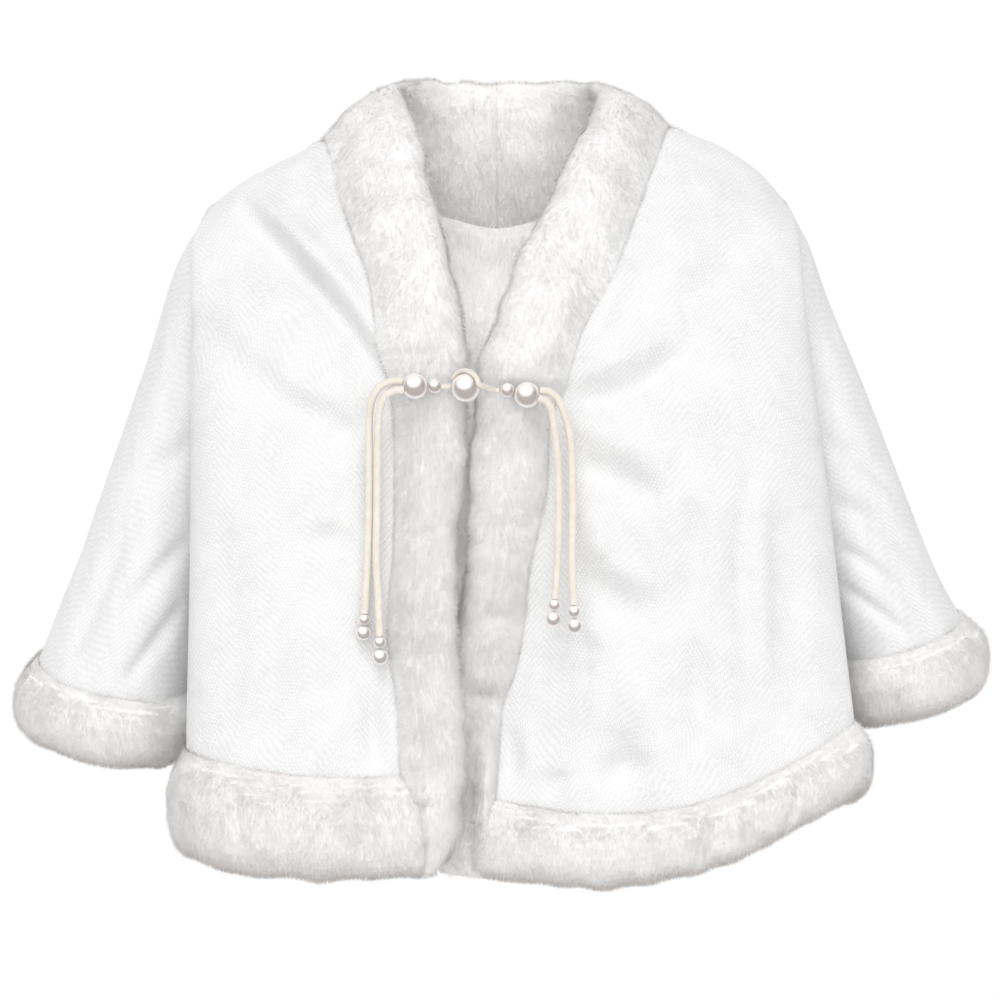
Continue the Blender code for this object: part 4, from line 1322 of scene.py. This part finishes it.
def new_group(name, inputs, outputs, kind="NodeSocketFloat"):
    """An empty shader group with named number inputs and outputs of one kind, and its two end nodes."""
    group = bpy.data.node_groups.new(name, "ShaderNodeTree")
    for label, value in inputs:
        group.interface.new_socket(label, in_out="INPUT", socket_type="NodeSocketFloat").default_value = value
    for label in outputs:
        group.interface.new_socket(label, in_out="OUTPUT", socket_type=kind)
    return group, group.nodes.new("NodeGroupInput"), group.nodes.new("NodeGroupOutput")


def herringbone_group():
    """Herringbone of short steep stitches, by the lengths of the cloth map: a height, and a patchy colour
    level with painted shade where the stitches are low.
    """
    group, start, end = new_group("herringbone", WEAVE, ("Height", "Shade"))
    place = node(group, "ShaderNodeUVMap", uv_map="cloth").outputs["UV"]
    wander = noise(group, place, *WEAVE_WANDER)
    parts = node(group, "ShaderNodeSeparateXYZ", {0: place})
    across = math_node(group, "MULTIPLY_ADD", wander, WEAVE_ASIDE, parts.outputs["X"])
    down = math_node(group, "MULTIPLY_ADD", wander, WEAVE_DOWN, parts.outputs["Y"])
    zigzag = math_node(group, "PINGPONG", across, start.outputs["Band"])
    slanted = math_node(group, "MULTIPLY_ADD", zigzag, start.outputs["Slope"], down)
    rib = math_node(group, "DIVIDE", slanted, start.outputs["Rib"])
    offset = math_node(group, "MULTIPLY", math_node(group, "FLOOR", rib), STITCH_OFFSET)
    stitch = math_node(group, "ADD", math_node(group, "DIVIDE", down, start.outputs["Stitch"]), offset)
    dash = math_node(group, "MULTIPLY", ripple(group, rib), ripple(group, stitch))
    worn = between(group, noise(group, place, *WEAVE_WORN), *WORN_LIMITS, least=WORN_LEAST)
    raised = math_node(group, "MULTIPLY", dash, worn)
    height = math_node(group, "MULTIPLY_ADD", noise(group, place, *WEAVE_SLUB), SLUB_SHARE, raised)
    broad = noise(group, place, *WEAVE_BROAD)
    # Painted shade: the colour level falls where the weave is low, and varies in broad random patches
    fine = math_node(group, "MULTIPLY", height, 1 - BROAD_SHARE)
    shade = math_node(group, "MULTIPLY_ADD", broad, BROAD_SHARE, fine)
    group.links.new(height, end.inputs["Height"])
    group.links.new(shade, end.inputs["Shade"])
    return group


def nap_group():
    """Soft tufts of a pile by place: a height, and a patchy colour level with painted shade where the tufts
    are low.
    """
    group, start, end = new_group("nap", (("Tuft", 300.0), ("Patch", 55.0)), ("Height", "Shade"))
    place = node(group, "ShaderNodeTexCoord").outputs["Object"]
    tuft = noise(group, place, start.outputs["Tuft"], TUFT_DETAIL)
    patch = noise(group, place, start.outputs["Patch"], PATCH_DETAIL)
    height = math_node(group, "MULTIPLY_ADD", patch, PATCH_RISE, tuft)
    # Painted shade: the colour level falls where the tufts are low
    fine = math_node(group, "MULTIPLY", tuft, 1 - PATCH_SHADE)
    shade = math_node(group, "MULTIPLY_ADD", patch, PATCH_SHADE, fine)
    group.links.new(height, end.inputs["Height"])
    group.links.new(shade, end.inputs["Shade"])
    return group


def new_material(name, roughness, specular, sheen=0.0, sheen_tint=(1, 1, 1)):
    """A material with a plain shader, and its tree and shader."""
    material = bpy.data.materials.new(name)
    material.use_nodes = True
    shader = material.node_tree.nodes["Principled BSDF"]
    shader.inputs["Roughness"].default_value = roughness
    shader.inputs["Specular IOR Level"].default_value = specular
    shader.inputs["Sheen Weight"].default_value = sheen
    shader.inputs["Sheen Tint"].default_value = (*sheen_tint, 1)
    shader.inputs["Sheen Roughness"].default_value = 0.5
    return material, material.node_tree, shader


def ramp(tree, value, low, high, colours):
    """A colour from the dark to the light one of a pair as a value goes from low to high."""
    dark, light = colours
    inputs = {"Factor": between(tree, value, low, high), "A": (*dark, 1), "B": (*light, 1)}
    return node(tree, "ShaderNodeMix", inputs, data_type="RGBA").outputs["Result"]


def add_bump(tree, shader, height, strength, distance):
    """A bump on a shader's normal."""
    bump = node(tree, "ShaderNodeBump", {"Height": height, "Strength": strength, "Distance": distance})
    tree.links.new(bump.outputs["Normal"], shader.inputs["Normal"])


def make_tweed():
    """White herringbone tweed, with a little painted shade between its ribs."""
    material, tree, shader = new_material("white tweed", roughness=0.92, specular=0.2, sheen=0.12)
    weave = node(tree, "ShaderNodeGroup", node_tree=herringbone)
    colour = ramp(tree, weave.outputs["Shade"], low=0.25, high=0.68, colours=TWEED_COLOURS)
    tree.links.new(colour, shader.inputs["Base Color"])
    add_bump(tree, shader, weave.outputs["Height"], strength=0.4, distance=0.7 * MM)
    return material


def painted_shade_group():
    """Painted warm shade of a pile where it looks down low on the cape, and a faint warm tone in random
    patches: a colour to multiply by.
    """
    group, start, end = new_group("painted shade below", (("Depth", 1.0),), ("Colour",), "NodeSocketColor")
    normal = node(group, "ShaderNodeNewGeometry").outputs["Normal"]
    height = node(group, "ShaderNodeSeparateXYZ", {0: normal}).outputs["Z"]
    # Painted shade: darker where the surface looks down, low on the cape
    looks_down = between(group, height, *PAINTED_SHADE_TURN)
    place = node(group, "ShaderNodeTexCoord").outputs["Object"]
    low = between(group, node(group, "ShaderNodeSeparateXYZ", {0: place}).outputs["Z"], *PAINTED_SHADE_LEVELS)
    deep = math_node(group, "MULTIPLY", looks_down, low)
    shade = math_node(group, "MULTIPLY", deep, start.outputs["Depth"])
    patch = between(group, noise(group, place, *WARM_CLOUDS), *WARM_LIMITS, most=WARM_MOST)
    share = math_node(group, "MAXIMUM", shade, patch)
    colour = ramp(group, share, low=0.0, high=1.0, colours=((1, 1, 1), PAINTED_UNDERSIDE_SHADE))
    group.links.new(colour, end.inputs["Colour"])
    return group


def with_painted_shade(tree, colour):
    """A colour with the painted warm shade of a pile that looks down, and its faint random warm patches."""
    shade = node(tree, "ShaderNodeGroup", node_tree=below).outputs["Colour"]
    inputs = {"Factor": 1.0, "A": colour, "B": shade}
    return node(tree, "ShaderNodeMix", inputs, data_type="RGBA", blend_type="MULTIPLY").outputs["Result"]


def make_plush(name, colours, tuft):
    """The flat plush under a pile, or of the lining."""
    material, tree, shader = new_material(name, roughness=0.95, specular=0.15)
    fuzz = node(tree, "ShaderNodeGroup", {"Tuft": tuft}, node_tree=nap)
    # Painted shade where the nap is low, with random patches of tone
    colour = ramp(tree, fuzz.outputs["Shade"], low=0.3, high=0.7, colours=colours)
    # Painted shade where the plush looks down low on the cape
    tree.links.new(with_painted_shade(tree, colour), shader.inputs["Base Color"])
    add_bump(tree, shader, fuzz.outputs["Height"], strength=0.6, distance=1.4 * MM)
    return material


def make_hair():
    """White pile: painted shade at the roots, a little uneven from hair to hair."""
    material, tree, shader = new_material("white pile", roughness=0.85, specular=0.08)
    hair = node(tree, "ShaderNodeAttribute", attribute_name="hair").outputs["Color"]
    parts = node(tree, "ShaderNodeSeparateColor", {"Color": hair})
    # Painted shade: the colour darkens towards the roots
    height = math_node(tree, "MULTIPLY", parts.outputs["Red"], PAINTED_ROOT_SHADE_SHARE)
    level = math_node(tree, "MULTIPLY_ADD", parts.outputs["Green"], HAIR_TONE_SHARE, height)
    colour = ramp(tree, level, low=0.0, high=0.9, colours=HAIR_COLOURS)
    # Painted shade where the pile looks down low on the cape
    tree.links.new(with_painted_shade(tree, colour), shader.inputs["Base Color"])
    return material


def make_velvet():
    """Cream velvet cord with a soft nap."""
    material, tree, shader = new_material(
        "cream velvet cord", roughness=0.85, specular=0.2, sheen=0.5, sheen_tint=VELVET_SHEEN,
    )
    fuzz = node(tree, "ShaderNodeGroup", {"Tuft": 1400.0, "Patch": 160.0}, node_tree=nap)
    # Painted shade where the nap is low, with random patches of tone
    colour = ramp(tree, fuzz.outputs["Shade"], low=0.3, high=0.7, colours=VELVET_COLOURS)
    tree.links.new(colour, shader.inputs["Base Color"])
    add_bump(tree, shader, fuzz.outputs["Height"], strength=0.5, distance=0.4 * MM)
    return material


def make_pearl():
    """Glossy white pearl with painted light: a painted highlight above, a painted grey-brown reflection
    across its face, and a painted warm pale reflection round its edge.
    """
    material, tree, shader = new_material("pearl", roughness=0.25, specular=0.7)
    shader.inputs["Coat Weight"].default_value = 1.0
    shader.inputs["Coat Roughness"].default_value = 0.06
    # Painted light: a pale reflection towards the edge as seen, a highlight where the surface faces the
    # highlight's way, and a grey-brown reflection across the face between them
    facing_away = node(tree, "ShaderNodeLayerWeight", {"Blend": 0.5}).outputs["Facing"]
    painted_edge_reflection = between(tree, facing_away, *PAINTED_RIM_REFLECTION)
    ways = {0: node(tree, "ShaderNodeNewGeometry").outputs["Normal"], 1: PAINTED_HIGHLIGHT_WAY}
    towards = node(tree, "ShaderNodeVectorMath", ways, operation="DOT_PRODUCT").outputs["Value"]
    above = between(tree, towards, *PAINTED_TOP_HIGHLIGHT)
    clouds = node(tree, "ShaderNodeGroup", {"Tuft": 260.0, "Patch": 90.0}, node_tree=nap).outputs["Shade"]
    level = math_node(tree, "MULTIPLY_ADD", clouds, PEARL_CLOUDS, math_node(tree, "MAXIMUM", painted_edge_reflection, above))
    colour = ramp(tree, level, low=0.15, high=0.85, colours=PAINTED_PEARL_REFLECTIONS)
    tree.links.new(colour, shader.inputs["Base Color"])
    return material


def make_floor():
    """Plain near-white floor."""
    material, _, shader = new_material("pale floor", roughness=0.9, specular=0.0)
    shader.inputs["Base Color"].default_value = FLOOR_COLOUR
    return material


# Camera, light and floor

def add_camera():
    """The camera at the eye that the front sizes were read by."""
    data = bpy.data.cameras.new("camera")
    data.sensor_width = SENSOR
    data.lens = SENSOR * EYE_DISTANCE / FRAME_WIDTH
    camera = bpy.data.objects.new("camera", data)
    bpy.context.scene.collection.objects.link(camera)
    aim = Vector((EYE_AIM_X, 0, EYE_AIM_Z))
    camera.location = aim + EYE_DISTANCE * Vector((0, -math.cos(EYE_PITCH), math.sin(EYE_PITCH)))
    camera.rotation_euler = (math.pi / 2 - EYE_PITCH, 0, 0)
    bpy.context.scene.camera = camera


def add_light(name, kind, place, energy, aim=TRUNK_MIDDLE, **settings):
    """A lamp at a place, turned to its aim."""
    data = bpy.data.lights.new(name, kind)
    data.energy = energy
    for key, value in settings.items():
        setattr(data, key, value)
    lamp = bpy.data.objects.new(name, data)
    bpy.context.scene.collection.objects.link(lamp)
    lamp.location = place
    lamp.rotation_euler = (Vector(aim) - Vector(place)).to_track_quat("-Z", "Y").to_euler()
    lamp.visible_camera = False


def add_studio():
    """A pale floor well below the cape, soft white light all round, three suns and two lamps in the neck."""
    scene = bpy.context.scene
    scene.view_settings.view_transform = "Standard"
    signs = ((-1, -1), (1, -1), (1, 1), (-1, 1))
    corners = np.array([(x * FLOOR_HALF, y * FLOOR_HALF, FLOOR_Z) for x, y in signs])
    mesh = mesh_from_arrays("floor", corners, np.array([[0, 1, 2, 3]]))
    mesh.materials.append(make_floor())
    floor = bpy.data.objects.new("floor", mesh)
    scene.collection.objects.link(floor)
    world = bpy.data.worlds.new("studio")
    world.use_nodes = True
    world.node_tree.nodes["Background"].inputs["Color"].default_value = (1, 1, 1, 1)
    world.node_tree.nodes["Background"].inputs["Strength"].default_value = WORLD_STRENGTH
    scene.world = world
    for sun in SUNS:
        add_light(sun.name, "SUN", sun.place, sun.strength, angle=sun.angle)
    for lamp in NECK_LAMPS:
        add_light(
            lamp.name, "AREA", lamp.place, lamp.power, aim=lamp.aim, shape="RECTANGLE",
            size=NECK_LAMP_WIDTH, size_y=NECK_LAMP_HEIGHT, spread=NECK_SPREAD, color=NECK_COLOUR,
        )


# Pieces

def build_trunk(right, left):
    """The fronts, the back with its lining, and the hem trim."""
    fronts = {side.name: front_grid(side) for side in (right, left)}
    back = back_grid(right, left, fronts)
    for side in (right, left):
        name = "front_" + side.name
        grid = refine(fronts[side.name], PANEL_STEP)
        x, z = seen_from_front(grid)
        depth = crease_depth(side.creases, x, z) + dent_depth(side.dents, x, z) + waved(grid, FRONT_WAVE)
        fade = edge_fade(grid, CREASE_FADE, ("first_row", "last_row", "last_column"))
        at_fur = edge_fade(grid, EDGE_CREASE_FADE, ("first_column",))
        fade = fade * (EDGE_CREASE_LEAST + (1 - EDGE_CREASE_LEAST) * at_fur)
        grid = round_tips(grid - grid_normals_out(grid) * (depth * fade)[:, :, None], [side])
        across, down = surface_lengths(grid)
        across += np.abs(grid[:, :1, 0])
        piece = add_cloth(name, grid, TRUNK_MIDDLE, across, down, CLOTH, [tweed, lining])
        top, low = hem_edges(side, fronts[side.name])
        out = outward(top, low, TRUNK_MIDDLE)
        out[0] = (0, -1, 0)
        out[-1] = (side.sign, 0, 0)
        seed = HEM_SEED + side.sign
        add_trim("hem_" + side.name, top, low, out, HEM_FUR, seed, ends=HEM_ENDS, rounded=True)
    build_back(back, (right, left))


def grid_normals_out(grid):
    """The normals of a panel's grid, away from the middle of the trunk."""
    normals = grid_normals(grid)
    away = np.sum(normals * (grid - np.array(TRUNK_MIDDLE)))
    return normals if away > 0 else -normals


def build_back(back, sides):
    """The back, its lining and its hem trim."""
    grid, row_places, column_places = refine_with_places(back, PANEL_STEP)
    depth = crease_depth(BACK_CREASES, grid[..., 0] / MM, grid[..., 2] / MM) + waved(grid, BACK_WAVE)
    fade = edge_fade(grid, CREASE_FADE, ("first_row", "last_row", "first_column", "last_column"))
    grid = round_tips(grid - grid_normals_out(grid) * (depth * fade)[:, :, None], sides)
    across, down = surface_lengths(grid)
    piece = add_cloth("back", grid, TRUNK_MIDDLE, across, down, CLOTH, [tweed, lining])
    thin_tips(piece, grid.reshape(-1, 3), sides)
    margin = TURN_COLUMNS + FACE_COLUMNS + 1
    columns = (column_places >= margin) & (column_places <= len(back[0]) - 1 - margin)
    inside = (grid - grid_normals_out(grid) * (CLOTH + LINING_GAP))[:, columns]
    build_lining(inside, np.argmax(row_places >= 1))
    top = np.array(back[-1]) - (0, 0, EDGE_GAP)
    low = top - (0, 0, BACK_FUR_HEIGHT)
    out = outward(top, low, TRUNK_MIDDLE)
    out[0] = (-1, 0, 0)
    out[-1] = (1, 0, 0)
    add_trim("hem_back", top, low, out, HEM_FUR, BACK_HEM_SEED, ends=BACK_HEM_ENDS)


def build_lining(inside, first):
    """The lining over a grid inside the back, from its first row on, and the lining's own pile."""
    grid = inside[first::2, ::2]
    across, down = surface_lengths(grid)
    piece = add_cloth("back_lining", grid, TRUNK_MIDDLE, across, down, LINING, [lining])
    grid = inside - grid_normals_out(inside) * LINING
    points = grid.reshape(-1, 3)
    quads = facing(points, grid_quads(*grid.shape[:2]), np.array(BEHIND_BACK))
    rows = np.repeat(np.arange(grid.shape[0] - 1), grid.shape[1] - 1)
    splay = np.zeros((len(quads), 3))
    splay[rows < LINING_EDGE_ROWS, 2] = PILE_SPLAY
    weights = np.where(rows < LINING_SEEN_ROWS, 1.0, LINING_HIDDEN_PILE)
    lift = np.zeros(len(quads))
    count = HAIRS["back_lining"]
    add_pile("back_lining_pile", points, quads, weights, splay, lift, count, LINING_PILE, LINING_SEED)


def build_edge(side):
    """One half of the collar and the front band below it."""
    collar = side.strip[:side.closure_step + 1].copy()
    band = side.strip[side.closure_step:].copy()
    collar[0, [0, 3]] = side.sign * SEAM_GAP / 2
    collar[-1, [2, 5]] += SEAM_GAP
    band[0, [2, 5]] -= SEAM_GAP
    strips = (("collar_", collar, COLLAR_FUR, COLLAR_ENDS), ("band_", band, BAND_FUR, BAND_ENDS))
    for name, rows, fur, ends in strips:
        seed = EDGE_SEED + side.sign + len(name)
        add_trim(name + side.name, rows[:, :3], rows[:, 3:6], rows[:, 6:], fur, seed, ends=ends)


def build_sleeve(side):
    """A sleeve and its cuff."""
    name = "sleeve_" + side.name
    coarse = sleeve_grid(side)
    ring = [line + line[:1] for line in coarse]
    grid = refine(ring, PANEL_STEP)[:, :-1]
    axis = grid.mean(axis=1, keepdims=True)
    rows, columns = grid.shape[:2]
    along = np.linspace(0, 1, rows)[:, None]
    around = np.linspace(0, 1, columns, endpoint=False)[None, :]
    length = lengths_along(axis[:, 0])[-1] / MM
    girth = lengths_along(grid[-1])[-1] / MM
    creases = [sleeve_crease(row, length, girth) for row in side.sleeve_creases]
    depth = crease_depth(creases, around * girth + 0 * along, along * length + 0 * around)
    depth += waved(grid, SLEEVE_WAVE)
    fade = edge_fade(grid, CREASE_FADE, ("first_row", "last_row"))
    grid = round_tips(grid - unit(grid - axis) * (depth * fade)[:, :, None], [side])
    across = around * girth * MM + 0 * along
    down = surface_lengths(grid)[1]
    inside = axis.mean(axis=(0, 1))
    piece = add_cloth(name, grid, inside, across, down, CLOTH, [tweed, lining], closed=True)
    top, low = cuff_edges(side, coarse)
    out = outward(top, low, (top.mean(axis=0) + low.mean(axis=0)) / 2, ring=True)
    add_trim("cuff_" + side.name, top, low, out, CUFF_FUR, CUFF_SEED + side.sign, ring=True)


def add_pearl(name, place, diameter, node_name):
    """A pearl: a fine ball, a little flattened round its drilled hole."""
    angles = np.linspace(0, math.pi, PEARL_ROWS + 1)[1:-1]
    turns = 2 * math.pi * np.arange(PEARL_COLUMNS) / PEARL_COLUMNS
    radius = diameter * MM / 2
    ball = np.stack([
        np.cos(angles)[:, None] + 0 * turns,
        np.sin(angles)[:, None] * np.cos(turns),
        np.sin(angles)[:, None] * np.sin(turns),
    ], axis=2)
    points = np.vstack([ball.reshape(-1, 3), [(PEARL_FLAT, 0, 0), (-PEARL_FLAT, 0, 0)]]) * radius
    quads = grid_quads(len(angles), PEARL_COLUMNS, wrap_columns=True)
    first = np.arange(PEARL_COLUMNS)
    last = first + (len(angles) - 1) * PEARL_COLUMNS
    pole = len(points) - 2
    caps = np.vstack([cap(first, pole, False), cap(last, pole + 1, True)])
    mesh = mesh_from_arrays(name, points + place, quads[:, ::-1], caps)
    return add_piece(name, mesh, [pearl], [node_name])


def add_cord(name, route, count, diameter, node_name):
    """A cord along a smooth curve through the points of its route, with that curve and its length."""
    dense = smooth(route)
    run = lengths_along(dense)
    shares = np.linspace(0, run[-1], count)
    curve = bpy.data.curves.new(name, "CURVE")
    curve.dimensions = "3D"
    curve.bevel_depth = diameter / 2
    curve.bevel_resolution = CORD_ROUNDNESS
    curve.use_fill_caps = True
    line = curve.splines.new("POLY")
    line.points.add(count - 1)
    for point, share in zip(line.points, shares):
        point.co = (*(np.interp(share, run, dense[:, i]) for i in range(3)), 1.0)
    line.use_smooth = True
    piece = add_piece(name, curve, [velvet], [node_name])
    return piece, dense, run[-1]


def loop_route(button, pearl_row):
    """The way of the button loop: from the small pearl beside it, then round the button, leaning."""
    centre = from_front(button.x, button.z, button.y)
    start = from_front(pearl_row.x, pearl_row.z, pearl_row.y)
    start = start - (pearl_row.diameter * MM / 2 + SEAM_GAP, 0, 0)
    radius = (button.diameter * MM + LOOP_CORD) / 2 + SEAM_GAP
    aside = np.array(LOOP_ASIDE) / np.linalg.norm(LOOP_ASIDE)
    lean = np.array(LOOP_LEAN) - aside * np.dot(LOOP_LEAN, aside)
    lean /= np.linalg.norm(lean)
    angles = np.linspace(LOOP_START, LOOP_END, LOOP_TURNS)
    ring = [centre + radius * (aside * math.cos(angle) + lean * math.sin(angle)) for angle in angles]
    return [start, start - (LOOP_CORD, 0, 0)] + ring


def build_closure():
    """The pearls across the front, the stem and loop of the middle one, and the four hanging tails."""
    for name, route in TAILS.items():
        points = [from_front(x, z, y) for x, z, y in route]
        cord, dense, length = add_cord(name + "_cord", points, TAIL_POINTS, CORD, name)
        way = unit(dense[-1] - dense[-2])
        place = dense[-1] + way * SEAM_GAP
        for order, diameter in zip(("upper", "lower"), TAIL_BEADS[name]):
            bead = name.replace("tail", "bead") + "_" + order
            place = place + way * diameter * MM / 2
            add_pearl(bead + "_pearl", place, diameter, bead)
            place = place + way * (diameter * MM / 2 + SEAM_GAP)
    for row in PEARLS:
        add_pearl(row.name + "_ball", from_front(row.x, row.z, row.y), row.diameter, row.name)
    rows = {row.name: row for row in PEARLS}
    small, button = rows["pearl_right_small"], rows["pearl_button"]
    ends = [from_front(row.x, row.z, row.y) for row in (small, button)]
    way = unit(ends[1] - ends[0])
    stem_start = ends[0] + way * (small.diameter * MM / 2 + SEAM_GAP)
    stem_end = ends[1] - way * (button.diameter * MM / 2 + SEAM_GAP)
    stem = [stem_start, (stem_start + stem_end) / 2, stem_end]
    add_cord("button_stem_cord", stem, STEM_POINTS, LOOP_CORD, "button_stem")
    loop = loop_route(button, rows["pearl_left_small"])
    add_cord("button_loop_cord", loop, TAIL_POINTS, LOOP_CORD, "button_loop")


RIGHT = Side(
    "right", -1, RIGHT_EDGE, RIGHT_WIDE, RIGHT_SLEEVE, RIGHT_FOLDS,
    RIGHT_CREASES, RIGHT_DENTS, RIGHT_SLEEVE_CREASES,
    crown=0, sag=5, bulge=4, seam=(-165, -215, -483), fur_height=(74, 80, 72), cuff=(52, 12),
    closure_row=6, hem_row=12,
)
LEFT = Side(
    "left", 1, LEFT_EDGE, LEFT_WIDE, LEFT_SLEEVE, LEFT_FOLDS,
    LEFT_CREASES, LEFT_DENTS, LEFT_SLEEVE_CREASES,
    crown=8, sag=33, bulge=16, seam=(180, 240, -463), fur_height=(57, 50, 72), cuff=(52, 6),
    closure_row=7, hem_row=15,
)

herringbone = herringbone_group()
nap = nap_group()
below = painted_shade_group()
tweed = make_tweed()
lining = make_plush("plush lining", LINING_COLOURS, tuft=260.0)
plush_skin = make_plush("white plush", SKIN_COLOURS, tuft=320.0)
plush_hair = make_hair()
velvet = make_velvet()
pearl = make_pearl()

add_camera()
build_closure()
build_trunk(RIGHT, LEFT)
for half in (RIGHT, LEFT):
    build_edge(half)
    build_sleeve(half)
add_studio()
